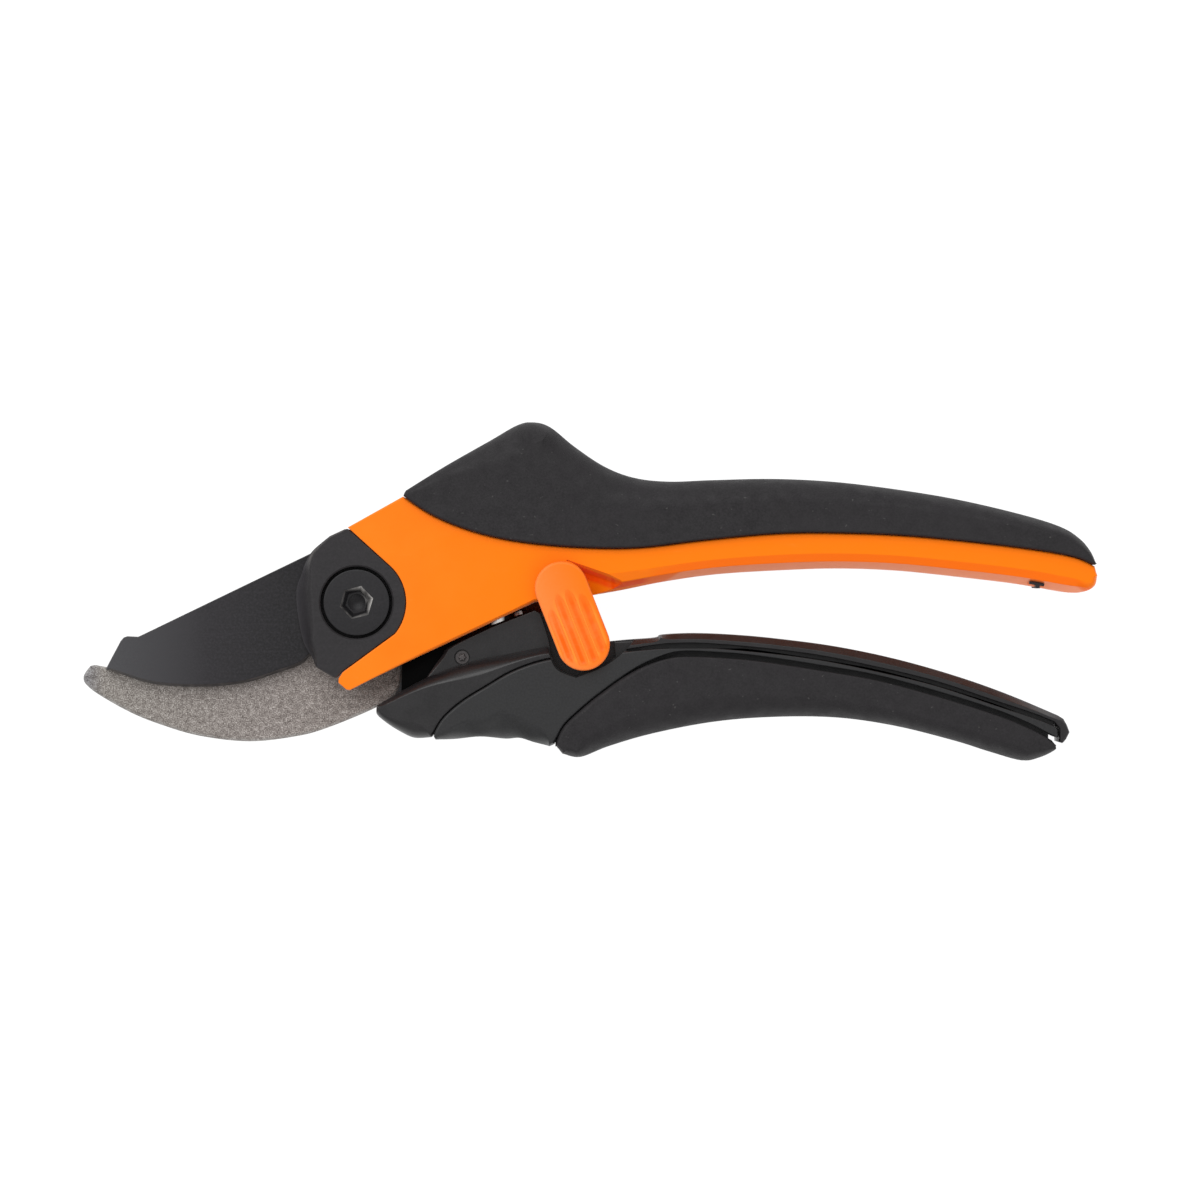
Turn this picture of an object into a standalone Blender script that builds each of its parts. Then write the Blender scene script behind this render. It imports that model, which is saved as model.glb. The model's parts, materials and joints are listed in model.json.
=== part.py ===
"""A bypass pruner, lying on its back with its blades closed and locked.

Two handles cross at a pivot bolt. The upper handle carries the hooked counter blade, and the
lower handle carries the cutting blade, so that squeezing the handles brings the blades past
each other. A coil spring between the handles opens them, and a swinging catch on the upper
handle holds them closed.

Outlines are in millimetres from the pivot's centre, with X along the handles and Y across
them. Heights are in millimetres from the mid-plane between the two blades.
"""
import math

import bmesh
import bpy
from mathutils import Matrix

MM = 0.001

# The pivot's place in the model, whose origin is under the middle of the closed tool
PIVOT_X = -47.0
PIVOT_Y = -2.26

# Thicknesses, as half-heights from the mid-plane
GRIP_HALF = 9.0
SLEEVE_HALF = 8.6
CORE_HALF = 8.0
CHEEK_HALF = 7.6
SLOT_HALF = 5.0
PLATE_HALF = 4.6
RIB_HALF = 4.2
HOOK_SWEEP_HALF = 4.1
REST_HEIGHT = GRIP_HALF

# Gap between pieces that touch, and how far a cutter reaches past what it cuts
GAP = 0.3
PAST = 2.0
THROUGH = 12.0

# Blades
BLADE_LOW = 0.15
BLADE_HIGH = 2.95
HOOK_LOW = -3.45
HOOK_HIGH = -0.15
BLADE_ROOT_R = 13.04
HOOK_ROOT_R = 12.4
SLOT_ROOT_R = 14.2
GRIND_WIDTH = 0.8
GRIND_TIP = 51.2
GRIND_HEEL = -9.6
GRIND_STEP = 1.0

# Pivot
BOLT_R = 4.0
BOLT_HEAD_R = 6.7
BOLT_HEAD_LOW = 4.0
BOLT_HEAD_HIGH = 6.9
BOLT_END = -7.0
SOCKET_R = 3.2
SOCKET_TURN = 5
SOCKET_DEPTH = 1.9
BUSH_R = 5.0
BLADE_HOLE_R = BUSH_R + GAP
WASHER_R = 6.4
WASHER_THICK = 0.45
NUT_R = 6.6
COVER_LOW = BLADE_HIGH + GAP
COVER_HIGH = 7.2
COVER_HOLE_R = 7.3
COVER_ARC_R = 9.9

# Lock catch
CATCH_X = 41.3
CATCH_Y = 3.25
CATCH_TILT = math.radians(-68.6)
CATCH_HEAD = 0.35
CATCH_REACH = 12.49
CATCH_R = 5.35
CATCH_LOW = CHEEK_HALF + GAP
CATCH_HIGH = 10.6
CATCH_SWEEP_R = CATCH_REACH + CATCH_R + 0.5
BARREL_R = 3.2
BARREL_LOW = 5.3
STUD_R = 2.5
STUD_REACH = 8.2
STUD_LOW = 5.1
LOCK_PIN_R = 1.5
LOCK_PIN_HEAD_R = 3.0
LOCK_PIN_HIGH = 9.2
WASHER_SEAT = 4.3
POCKET_FLOOR = 4.8
WELL_FLOOR = 1.0

# Return spring, which stands on the lower handle's plate and enters the upper handle's slot
SPRING_X = 29.8
SPRING_Y = -3.95
SPRING_TILT = math.radians(20.5)
SPRING_R = 3.85
WIRE_R = 0.55
SPRING_TURNS = 6
SEAT_FLANGE_R = 4.3
SEAT_FLANGE = 0.7
SEAT_STUD_R = 2.7
SEAT_STUD = 2.4
SPRING_ROOM = 11.3

# Rivets
CORE_RIVETS = {"blade_rivet_front": (21.3, -11.1), "blade_rivet_rear": (30.5, -16.6)}
CORE_RIVET_R = 1.4
HOOK_RIVETS = ((15.6, -1.5), (6.6, -9.6))
HOOK_RIVET_R = 1.6
HOOK_BOSS_R = 19.3
BACK_LIP_LOW = -7.3
BACK_LIP_HIGH = -5.15
BOSS_SINK = 0.4
RIVET_HEAD_LOW = -8.5
RIVET_HEAD_HIGH = -7.9


# ---------------------------------------------------------------- outlines

def smooth(points, steps=2):
    """A Catmull-Rom curve through an open list of points."""
    ends = [points[0], *points, points[-1]]
    result = []
    for p0, p1, p2, p3 in zip(ends, ends[1:], ends[2:], ends[3:]):
        for i in range(steps):
            t = i / steps
            result.append(tuple(
                0.5 * (2 * b + (c - a) * t + (2 * a - 5 * b + 4 * c - d) * t * t
                       + (3 * b - a - 3 * c + d) * t ** 3)
                for a, b, c, d in zip(p0, p1, p2, p3)))
    return result + [points[-1]]


def arc(radius, start, end, steps, centre=(0.0, 0.0)):
    """Points along an arc, with its angles in degrees."""
    angles = [math.radians(start + (end - start) * i / steps) for i in range(steps + 1)]
    return [(centre[0] + radius * math.cos(a), centre[1] + radius * math.sin(a)) for a in angles]


def grown(outline, distance):
    """A closed outline moved outwards by a distance, or inwards if it is negative."""
    area = sum(a[0] * b[1] - b[0] * a[1] for a, b in zip(outline, outline[1:] + outline[:1]))
    side = distance if area > 0 else -distance
    result = []
    for before, here, after in zip(outline[-1:] + outline, outline, outline[1:] + outline[:1]):
        ax, ay = here[0] - before[0], here[1] - before[1]
        bx, by = after[0] - here[0], after[1] - here[1]
        la, lb = math.hypot(ax, ay), math.hypot(bx, by)
        nx, ny = ay / la + by / lb, -ax / la - bx / lb
        scale = 2 / max(nx * nx + ny * ny, 1.0)
        result.append((here[0] + side * nx * scale, here[1] + side * ny * scale))
    return result


def about_catch(reach, turn=0.0):
    """A point at a distance from the catch's pin along the catch, turned by some radians."""
    angle = CATCH_TILT + turn
    return CATCH_X + reach * math.cos(angle), CATCH_Y + reach * math.sin(angle)


def about_spring(across, up):
    """A point beside or above the foot of the spring."""
    c, s = math.cos(SPRING_TILT), math.sin(SPRING_TILT)
    return SPRING_X + across * c - up * s, SPRING_Y + across * s + up * c


# Upper handle: the line between body and grip, the grip's back and the body's lower edge
UPPER_SEAM = smooth([(9.4, 21.4), (14.7, 17.9), (20.8, 15.2), (28, 13.1), (36, 11.8), (46, 11.0),
                     (57, 11.0), (70, 12.5), (84, 13.8), (96, 14.0), (110, 13.5), (124, 12.2),
                     (137, 10.6), (145, 9.1), (149.1, 7.3)])
UPPER_BACK = smooth([(149.5, 7.8), (148.6, 10.2), (146.4, 12.9), (142.4, 15.4), (134, 18.0), (121, 21.0),
                     (108, 23.1), (96, 24.5), (84, 25.05), (72, 24.8), (63, 24.5), (56, 25.3),
                     (50, 27.6), (44, 31.6), (39.3, 35.4), (36, 36.5), (32.6, 36.0), (27, 32.8),
                     (18, 27.6), (10.0, 22.6)])
UPPER_EDGE = smooth([(149.7, 5.4), (149.2, 3.4), (147.1, 2.2), (143.5, 2.1), (133.5, 3.8),
                     (121, 5.3), (109, 6.5), (97, 6.9), (85, 6.5), (72.6, 5.7), (62, 4.2),
                     (53, 2.4), (44, 0.9), (36, 0.0)])

# Lower handle: its top edge, the seam under it, the seam above the grip and its underside
LOWER_TOP = smooth([(4.1, -20.8), (14.1, -15.2), (23.2, -11.9), (31.7, -10.2), (37.9, -9.0),
                    (46, -8.4), (54, -7.6), (60.3, -7.1), (61.8, -6.5), (68, -6.2), (76, -6.5),
                    (85, -7.3), (97, -8.9), (109, -11.4), (121, -14.8), (131.5, -18.5), (141.7, -22.8)])
LOWER_SEAM = smooth([(140.9, -24.9), (136.7, -23.2), (128.8, -20.6), (117, -16.7), (105, -13.8), (93, -11.4),
                     (81, -9.9), (69, -9.0), (60, -9.3), (46, -10.6), (38.3, -11.5),
                     (31.7, -13.7), (26.3, -16.8), (21.3, -19.9), (17.4, -23.4), (15.2, -27.2)])
GRIP_SEAM = smooth([(40.0, -28.6), (41.8, -24.9), (45.3, -21.5), (49.2, -18.3), (54.6, -14.5),
                    (59.7, -12.1), (65.4, -10.8), (73, -11.0), (81, -11.7), (93, -13.5),
                    (105, -15.6), (117, -18.8), (128.8, -22.5), (135.5, -25.2), (140.3, -27.7)])
FINGER_WAVES = smooth([(16.0, -27.7), (20, -27.65), (25, -27.1), (30, -27.6), (33, -27.4),
                       (36, -28.3), (39.0, -29.1)])
GRIP_UNDERSIDE = smooth([(141.3, -28.8), (141.2, -29.9), (138.2, -31.4), (134.6, -32.0), (128, -30.2),
                         (121, -28.0), (109, -25.0), (97, -23.3), (84, -23.2), (72, -24.2),
                         (60, -26.5), (51, -29.1), (45.2, -31.3), (41.6, -30.6)])

# The cutting edge, from its heel to just short of the blade's point
CUTTING_EDGE = smooth([(-10.1, -11.4), (-11.8, -12.7), (-15.4, -14.0), (-23.5, -16.4), (-33, -17.1),
                       (-42.3, -16.3), (-50.9, -13.4)])[:-1]

# The right-hand side of the pivot cover, which the upper handle's body follows
COVER_SIDE_TOP = (-1.9, 15.0)
COVER_SIDE_LOW = (-2.9, -13.9)


def cover_side(gap):
    """The cover's edge beside the body, from its top to its foot, moved outwards by a gap."""
    top = (COVER_SIDE_TOP[0] + gap, COVER_SIDE_TOP[1] + gap)
    low = (COVER_SIDE_LOW[0] + gap, COVER_SIDE_LOW[1] - gap)
    return [top, *arc(COVER_ARC_R + gap, 48, -39, 12), low]


def body_outline():
    tail = [(9.6, -12.3), (3.0, -15.5), (-1.3, -17.7), (-2.0, -17.6), (-3.6, -16.2), (-3.6, -15.4)]
    return cover_side(GAP)[::-1] + UPPER_SEAM + UPPER_EDGE + tail


def upper_grip_outline():
    return UPPER_BACK + [(x, y + GAP) for x, y in UPPER_SEAM]


def upper_rib_outline():
    back = smooth([(17, 21.5), (26, 27), (35.5, 31.6), (42, 27.4), (51, 21.6), (60, 19.6),
                   (84, 20.2), (108, 18.4), (134, 13.6), (142, 11.2)])
    return back + [(142, 7.6), (124, 10), (96, 11.5), (70, 10.2), (46, 8.8), (31, 10.6), (19, 13.4)]


def slot_outline():
    """The open slot that the blades, the lower handle's plate and the spring work in."""
    pocket = [about_spring(4.9, -2), about_spring(4.9, SPRING_ROOM), about_spring(-4.9, SPRING_ROOM)]
    root = arc(SLOT_ROOT_R, 16, 112, 10)
    return pocket + [(19.5, 3.6)] + root + [(-25, 13), (-25, -35), (36, -35)]


def blade_outline():
    """The cutting blade, from its point along its back, round its root, and along its tang."""
    point = [(-51.0, -13.6), (-47.9, -7.8), (-47.3, -7.1), (-46.6, -6.85), (-44.4, -6.95), (-43.3, -6.45)]
    root = arc(BLADE_ROOT_R, 116.3, -2, 14)
    tang = [(16.5, -5.8), (20, -7.9), (26, -8.9), (32.2, -9.6), (33.4, -11.5), (33.4, -18.0),
            (31.8, -19.4), (13.0, -19.6), (8.6, -19.6), (7.6, -18.7), (8.3, -17.3), (8.9, -15.4),
            (9.1, -11.5)]
    belly = arc(BLADE_ROOT_R, -50, -132, 9)
    return point + root + tang + belly + CUTTING_EDGE


def hook_outline():
    """The counter blade, from its tip along its underside, its tang, its root and its mouth."""
    under = smooth([(-54.3, -12.9), (-55.3, -14.2), (-55.7, -15.3), (-55.2, -16.6), (-52.6, -18.7),
                    (-46.2, -22.3), (-40, -24.8), (-32, -27.1), (-22, -28.2), (-12.7, -27.2),
                    (-6.6, -25.6), (2.5, -21.9), (7.2, -19.2), (8.8, -16.8), (9.2, -13.4), (9.6, -11.8)])
    tang = [(15.6, -6.4), (18.5, -1.5), (18.0, 3.0), (13.2, 3.0)]
    root = arc(HOOK_ROOT_R, 15, 205, 18)
    mouth = smooth([(-12.6, -8.4), (-17, -11.2), (-24, -13.4), (-33, -14.5), (-42, -14.3),
                    (-49.5, -13.4), (-53.5, -12.7)])
    return under + tang + root + mouth


def cover_outline():
    foot = [(-4.2, -15.4), (-6.8, -13.9)]
    left = smooth([(-8.2, -13.0), (-8.9, -11.2), (-10.8, -8.0), (-12.0, -2.5), (-12.3, 2.3),
                   (-11.3, 5.6), (-10.1, 8.6), (-8.6, 10.7), (-5.4, 13.4)])
    return cover_side(0) + foot + left


def core_outline():
    """The core, whose end turns down past the sleeve's end."""
    end = [(142.8, -23.5), (143.5, -24.8), (144.0, -26.2), (143.3, -27.6), (142.5, -28.6), (141.9, -28.2),
           (141.9, -25.5)]
    front = smooth([(11.7, -27.4), (8.6, -26.0), (5.6, -24.0), (4.0, -22.4)])
    return LOWER_TOP + end + LOWER_SEAM + front


def core_plate_outline():
    """The thin inner plate: its exposed top by the spring, and the rib inside the two grips."""
    top = [(18.1, -9.2), (27.5, -4.8), (31.7, -3.2), (36, -1.5), (40, -3.5), (46, -6.3),
           (51.2, -8.0), (54.3, -7.8)]
    rib_top = [(62, -7.4), (76, -7.3), (90, -8.6), (105, -11.4), (121, -15.6), (138, -22.0)]
    rib_low = [(137, -27.0), (121, -23.0), (103, -19.2), (88, -18.3), (72, -19.6), (58, -21.9),
               (47, -25.6), (44, -24.2), (38, -22.4), (24, -22.6), (16.5, -21.4), (14.1, -15.2)]
    return top + rib_top + rib_low


def sleeve_outline():
    seam = [(x, y - GAP) for x, y in LOWER_SEAM[:-1]] + [(15.5, -27.2)]
    return FINGER_WAVES + GRIP_SEAM + [(141.5, -27.3), (141.5, -25.6)] + seam


def lower_grip_outline():
    return GRIP_UNDERSIDE + [(x + 0.22, y - 0.22) for x, y in GRIP_SEAM]


def hook_sweep_outline():
    """Where the hook passes into the lower handle's nose as the blades open."""
    reach = [(-30, 20.8), (-42, 21.7), (-50, 22.6), (-57, 23.9), (-64, 25.5), (-70, 27.1), (-76, 29.0)]
    curve = [(r * math.cos(math.radians(a)), r * math.sin(math.radians(a))) for a, r in reach]
    return curve + [(-5, -30), (-5, -10), (14, -8)]


def catch_outline():
    tilt = math.degrees(CATCH_TILT)
    start_arc = arc(CATCH_R, tilt + 90, tilt + 270, 10, about_catch(CATCH_HEAD))
    return start_arc + arc(CATCH_R, tilt - 90, tilt + 90, 10, about_catch(CATCH_REACH))


def catch_recess_outline():
    """The hollow in the lower handle's front that the catch lies and swings in."""
    left = smooth([(34.5, 3.0), (36.2, -1.3), (38.3, -7.1), (39.1, -11.0), (40.7, -13.7),
                   (44.4, -15.2)])
    swing = arc(CATCH_SWEEP_R, -68, -38, 8, (CATCH_X, CATCH_Y))
    return left + swing + [(59.0, -3.0), (59.0, 3.0)]


def catch_well_outline():
    """The deep part of that hollow, close round the catch."""
    left = smooth([(36.0, 1.0), (36.7, -1.3), (38.6, -7.1), (39.4, -11.0), (40.9, -13.5), (44.4, -14.9)])
    return left + arc(CATCH_SWEEP_R - GAP, -68, -52, 4, (CATCH_X, CATCH_Y)) + [(51.4, 1.0)]


def stud_pocket_outline():
    """The facet in the upper handle's front that the catch's stud swings into."""
    inner = arc(CATCH_R + GAP, 66, -98, 10, (CATCH_X, CATCH_Y))
    return inner + [(40, -10), (57, -10), (55.4, 4.3), (50, 6.1)]


# ---------------------------------------------------------------- building

def clear_scene():
    for obj in list(bpy.data.objects):
        bpy.data.objects.remove(obj)


def new_collection(name):
    collection = bpy.data.collections.new(name)
    bpy.context.scene.collection.children.link(collection)
    return collection


def material(name, colour, roughness, metallic=0.0):
    mat = bpy.data.materials.new(name)
    mat.use_nodes = True
    shader = mat.node_tree.nodes["Principled BSDF"]
    shader.inputs["Base Color"].default_value = (*colour, 1.0)
    shader.inputs["Roughness"].default_value = roughness
    shader.inputs["Metallic"].default_value = metallic
    return mat


def mesh_object(name, bm):
    mesh = bpy.data.meshes.new(name)
    bm.to_mesh(mesh)
    bm.free()
    return bpy.data.objects.new(name, mesh)


def plate(name, outline, low, high, bevel=0.0, segments=2):
    """A flat outline given a thickness, with its rims rounded over when bevel is not 0."""
    curve = bpy.data.curves.new(name, "CURVE")
    curve.dimensions = "2D"
    curve.fill_mode = "BOTH"
    curve.extrude = (high - low) / 2 * MM
    spline = curve.splines.new("POLY")
    spline.points.add(len(outline) - 1)
    for point, (x, y) in zip(spline.points, outline):
        point.co = (x * MM, y * MM, 0, 1)
    spline.use_cyclic_u = True
    holder = bpy.data.objects.new(name, curve)
    bpy.context.scene.collection.objects.link(holder)
    graph = bpy.context.evaluated_depsgraph_get()
    mesh = bpy.data.meshes.new_from_object(holder.evaluated_get(graph))
    bpy.data.objects.remove(holder)
    bpy.data.curves.remove(curve)
    bm = bmesh.new()
    bm.from_mesh(mesh)
    bpy.data.meshes.remove(mesh)
    bmesh.ops.remove_doubles(bm, verts=bm.verts, dist=1e-6)
    bmesh.ops.dissolve_limit(bm, angle_limit=0.01, verts=bm.verts, edges=bm.edges)
    bmesh.ops.recalc_face_normals(bm, faces=bm.faces)
    bmesh.ops.translate(bm, verts=bm.verts, vec=(0, 0, (low + high) / 2 * MM))
    obj = mesh_object(name, bm)
    if bevel:
        rim = obj.modifiers.new("rims", "BEVEL")
        rim.width = bevel * MM
        rim.segments = segments
        rim.limit_method = "ANGLE"
        rim.angle_limit = math.radians(60)
    return obj


def rod(name, centre, radius, low, high, sides=24):
    """An upright cylinder, or a prism when it has few sides."""
    bm = bmesh.new()
    place = Matrix.Translation((centre[0] * MM, centre[1] * MM, (low + high) / 2 * MM))
    bmesh.ops.create_cone(bm, cap_ends=True, segments=sides, radius1=radius * MM,
                          radius2=radius * MM, depth=(high - low) * MM, matrix=place)
    return mesh_object(name, bm)


def turned(name, profile, sides=24):
    """A solid of revolution about Z from a profile that starts and ends on the axis."""
    bm = bmesh.new()
    verts = [bm.verts.new((r * MM, 0, z * MM)) for r, z in profile]
    for a, b in zip(verts, verts[1:]):
        bm.edges.new((a, b))
    obj = mesh_object(name, bm)
    screw = obj.modifiers.new("turn", "SCREW")
    screw.axis = "Z"
    screw.steps = sides
    screw.render_steps = sides
    screw.use_merge_vertices = True
    screw.merge_threshold = 1e-6
    return obj


def ring(name, centre, inner, outer, low, high, sides=24):
    """A washer or sleeve: a closed rectangle turned about its own axis."""
    bm = bmesh.new()
    corners = [(outer, high), (outer, low), (inner, low), (inner, high)]
    verts = [bm.verts.new((r * MM, 0, z * MM)) for r, z in corners]
    for a, b in zip(verts, verts[1:] + verts[:1]):
        bm.edges.new((a, b))
    obj = mesh_object(name, bm)
    obj.location = (centre[0] * MM, centre[1] * MM, 0)
    screw = obj.modifiers.new("turn", "SCREW")
    screw.axis = "Z"
    screw.steps = sides
    screw.render_steps = sides
    screw.use_merge_vertices = True
    screw.merge_threshold = 1e-6
    return obj


class Builder:
    """Files each object under its collection, material and moving frame."""

    def __init__(self):
        self.parts = new_collection("bypass_pruner")
        self.cutters = new_collection("cutters")
        self.frames = {}

    def frame(self, name, x, y, parent=None):
        empty = bpy.data.objects.new(name, None)
        self.parts.objects.link(empty)
        empty.location = (x * MM, y * MM, 0 if parent else REST_HEIGHT * MM)
        empty.parent = parent
        self.frames[name] = empty
        return empty

    def add(self, obj, frame, mat):
        """Files a piece, keeping it in place while its origin moves onto its frame's axis."""
        self.parts.objects.link(obj)
        empty = self.frames[frame]
        if empty.parent:
            obj.data.transform(Matrix.Translation(-empty.location))
        obj.parent = empty
        obj.data.materials.clear()
        obj.data.materials.append(mat)
        return obj

    def tool(self, obj):
        """Files a shape that only cuts or joins another."""
        self.cutters.objects.link(obj)
        obj.parent = self.frames["tool_frame"]
        obj.hide_render = True
        obj.display_type = "WIRE"
        return obj

    def combine(self, obj, other, operation):
        step = obj.modifiers.new(other.name, "BOOLEAN")
        step.operation = operation
        step.solver = "EXACT"
        step.object = self.tool(other)

    def cut(self, obj, *others):
        for other in others:
            self.combine(obj, other, "DIFFERENCE")

    def join(self, obj, *others):
        for other in others:
            self.combine(obj, other, "UNION")


# ---------------------------------------------------------------- upper handle

def upper_handle_body(b, mat):
    body = b.add(plate("upper_handle_body", body_outline(), -CHEEK_HALF, CHEEK_HALF, 1.2), "tool_frame", mat)
    b.join(body, plate("upper_rib", upper_rib_outline(), -RIB_HALF, RIB_HALF))
    b.cut(body, plate("slot", slot_outline(), -SLOT_HALF, SLOT_HALF))
    b.join(body, plate("hook_boss", hook_boss_outline(), -SLOT_HALF - BOSS_SINK, HOOK_LOW - GAP))
    b.join(body, plate("back_lip", back_lip_outline(), BACK_LIP_LOW, BACK_LIP_HIGH))
    b.cut(body, plate("stud_pocket", stud_pocket_outline(), POCKET_FLOOR, CHEEK_HALF + PAST))
    b.cut(body, rod("catch_bore", (CATCH_X, CATCH_Y), BARREL_R + GAP, WASHER_SEAT, CHEEK_HALF + PAST))
    b.cut(body, rod("lock_pin_hole", (CATCH_X, CATCH_Y), LOCK_PIN_R + GAP, -THROUGH, SLOT_HALF))
    for i, centre in enumerate(HOOK_RIVETS):
        b.cut(body, rod(f"hook_rivet_hole_{i}", centre, HOOK_RIVET_R + GAP, -THROUGH, HOOK_LOW, 16))
    b.cut(body, plate("lanyard_slot", lanyard_slot_outline(), -THROUGH, THROUGH))


def lanyard_slot_outline():
    """A small T, open at the handle's lower edge."""
    return [(136.4, 3.75), (137.2, 3.6), (137.2, 1.5), (137.9, 1.5), (137.9, 3.5), (139.3, 3.25),
            (139.4, 3.75), (136.5, 4.25)]


def back_lip_outline():
    """The back cheek's lower edge, which reaches behind the spring and the lower handle's plate."""
    inside = [(16.0, -8.6), (22, -5.8), (30, -2.2), (35.5, 0.5), (41, 1.6)]
    return inside + [(41, -2.0), (36.6, -2.6), (33, -3.4), (27, -6.0), (20, -9.3), (16.5, -10.7)]


def hook_boss_outline():
    """The raised pad that the hook is riveted to, inside the back cheek."""
    return ([(1.2, -14.6)] + arc(HOOK_BOSS_R, -37, 12, 6) + [(13.6, 4.2)]
            + arc(COVER_ARC_R + GAP + 0.5, 16, -44, 8))


def upper_grip(b, mat):
    grip = b.add(plate("upper_grip", upper_grip_outline(), -GRIP_HALF, GRIP_HALF, 3.0), "tool_frame", mat)
    room = grown(upper_rib_outline(), GAP)
    b.cut(grip, plate("upper_rib_room", room, -RIB_HALF - GAP, RIB_HALF + GAP))


def counter_blade(b, mat):
    hook = b.add(plate("counter_blade", hook_outline(), HOOK_LOW, HOOK_HIGH, 0.25, 1), "tool_frame", mat)
    b.cut(hook, rod("hook_bolt_hole", (0, 0), BLADE_HOLE_R, -THROUGH, THROUGH))
    for i, centre in enumerate(HOOK_RIVETS):
        b.cut(hook, rod(f"hook_plate_hole_{i}", centre, HOOK_RIVET_R + GAP, -THROUGH, THROUGH, 16))


def pivot_cover(b, mat, name, low, high):
    cover = b.add(plate(name, cover_outline(), low, high, 0.3, 1), "tool_frame", mat)
    b.cut(cover, rod(name + "_hole", (0, 0), COVER_HOLE_R, low - PAST, high + PAST, 32))


def pivot_bolt(b, mat):
    profile = [(0, BOLT_HEAD_HIGH), (BOLT_HEAD_R - 0.5, BOLT_HEAD_HIGH), (BOLT_HEAD_R, BOLT_HEAD_HIGH - 0.5),
               (BOLT_HEAD_R, BOLT_HEAD_LOW), (BOLT_R, BOLT_HEAD_LOW), (BOLT_R, BOLT_END), (0, BOLT_END)]
    bolt = b.add(turned("pivot_bolt", profile), "tool_frame", mat)
    hexagon = arc(SOCKET_R, SOCKET_TURN, SOCKET_TURN + 300, 5)
    b.cut(bolt, plate("hex_socket", hexagon, BOLT_HEAD_HIGH - SOCKET_DEPTH, BOLT_HEAD_HIGH + PAST))


def pivot_hardware(b, steel, bronze, plastic):
    under_hook = HOOK_LOW - GAP - WASHER_THICK
    nut = b.add(rod("pivot_nut", (0, 0), NUT_R, BOLT_END, under_hook - GAP, 6), "tool_frame", steel)
    b.cut(nut, rod("nut_thread", (0, 0), BOLT_R + GAP, -THROUGH, 0))
    b.add(ring("pivot_bush", (0, 0), BOLT_R + GAP, BUSH_R, HOOK_LOW, BLADE_HIGH), "tool_frame", bronze)
    over_blade = BLADE_HIGH + GAP
    b.add(ring("pivot_washer", (0, 0), BOLT_R + GAP, WASHER_R, over_blade, over_blade + WASHER_THICK),
          "tool_frame", plastic)
    b.add(ring("pivot_spring_washer", (0, 0), BOLT_R + GAP, WASHER_R, under_hook, under_hook + WASHER_THICK),
          "tool_frame", steel)


def hook_rivets(b, mat):
    """Flush in the hook, with low heads on the back of the body."""
    shank = HOOK_RIVET_R
    head = HOOK_RIVET_R + 1.0
    profile = [(0, HOOK_HIGH - GAP), (shank, HOOK_HIGH - GAP), (shank, RIVET_HEAD_HIGH),
               (head, RIVET_HEAD_HIGH), (head - 0.3, RIVET_HEAD_LOW), (0, RIVET_HEAD_LOW)]
    for i, (x, y) in enumerate(HOOK_RIVETS, 1):
        rivet = b.add(turned(f"hook_rivet_{i}", profile, 16), "tool_frame", mat)
        rivet.location = (x * MM, y * MM, 0)


def spring_seat(b, mat, name, frame, up_from, direction):
    """A flange with a stud that locates one end of the spring."""
    profile = [(0, SEAT_FLANGE + SEAT_STUD), (SEAT_STUD_R - 0.5, SEAT_FLANGE + SEAT_STUD),
               (SEAT_STUD_R, SEAT_FLANGE + SEAT_STUD - 0.5), (SEAT_STUD_R, SEAT_FLANGE),
               (SEAT_FLANGE_R, SEAT_FLANGE), (SEAT_FLANGE_R, 0), (0, 0)]
    seat = turned(name, profile, 20)
    x, y = about_spring(0, up_from)
    turn = Matrix.Rotation(SPRING_TILT, 4, "Z") @ Matrix.Rotation(-direction * math.pi / 2, 4, "X")
    b.add(seat, frame, mat)
    seat.matrix_local = Matrix.Translation((x * MM, y * MM, 0)) @ turn


def return_spring(b, mat):
    """A coil of round wire between the two seats."""
    foot = GAP + SEAT_FLANGE + GAP + WIRE_R
    head = SPRING_ROOM - foot
    count = SPRING_TURNS * 12
    curve = bpy.data.curves.new("return_spring", "CURVE")
    curve.dimensions = "3D"
    curve.bevel_depth = WIRE_R * MM
    curve.bevel_resolution = 2
    curve.use_fill_caps = True
    spline = curve.splines.new("POLY")
    spline.points.add(count)
    for i, point in enumerate(spline.points):
        angle = 2 * math.pi * SPRING_TURNS * i / count
        x, y = about_spring(SPRING_R * math.cos(angle), foot + (head - foot) * i / count)
        point.co = (x * MM, y * MM, SPRING_R * math.sin(angle) * MM, 1)
    b.add(bpy.data.objects.new("return_spring", curve), "tool_frame", mat)


# ---------------------------------------------------------------- lower handle

def lower_handle_core(b, mat):
    core = b.add(plate("lower_handle_core", core_outline(), -CORE_HALF, CORE_HALF, 0.8), "lower_axis", mat)
    b.join(core, plate("core_plate", core_plate_outline(), -PLATE_HALF, PLATE_HALF))
    b.cut(core, plate("catch_recess_core", catch_recess_outline(), POCKET_FLOOR, THROUGH))
    b.cut(core, plate("catch_well", catch_well_outline(), WELL_FLOOR, THROUGH))
    for name, centre in CORE_RIVETS.items():
        b.cut(core, rod(name + "_core_hole", centre, CORE_RIVET_R + GAP, -THROUGH, THROUGH, 16))
    b.cut(core, plate("hook_sweep", hook_sweep_outline(), -HOOK_SWEEP_HALF, HOOK_SWEEP_HALF))
    b.cut(core, plate("tang_room", grown(blade_outline(), GAP), BLADE_LOW - GAP, BLADE_HIGH + GAP))


def lower_handle_sleeve(b, mat):
    shell = plate("lower_handle_sleeve", sleeve_outline(), -SLEEVE_HALF, SLEEVE_HALF, 0.8)
    sleeve = b.add(shell, "lower_axis", mat)
    room = grown(core_plate_outline(), GAP)
    b.cut(sleeve, plate("sleeve_room", room, -PLATE_HALF - GAP, PLATE_HALF + GAP))
    b.cut(sleeve, plate("catch_recess_sleeve", catch_recess_outline(), PLATE_HALF + GAP, THROUGH))


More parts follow.
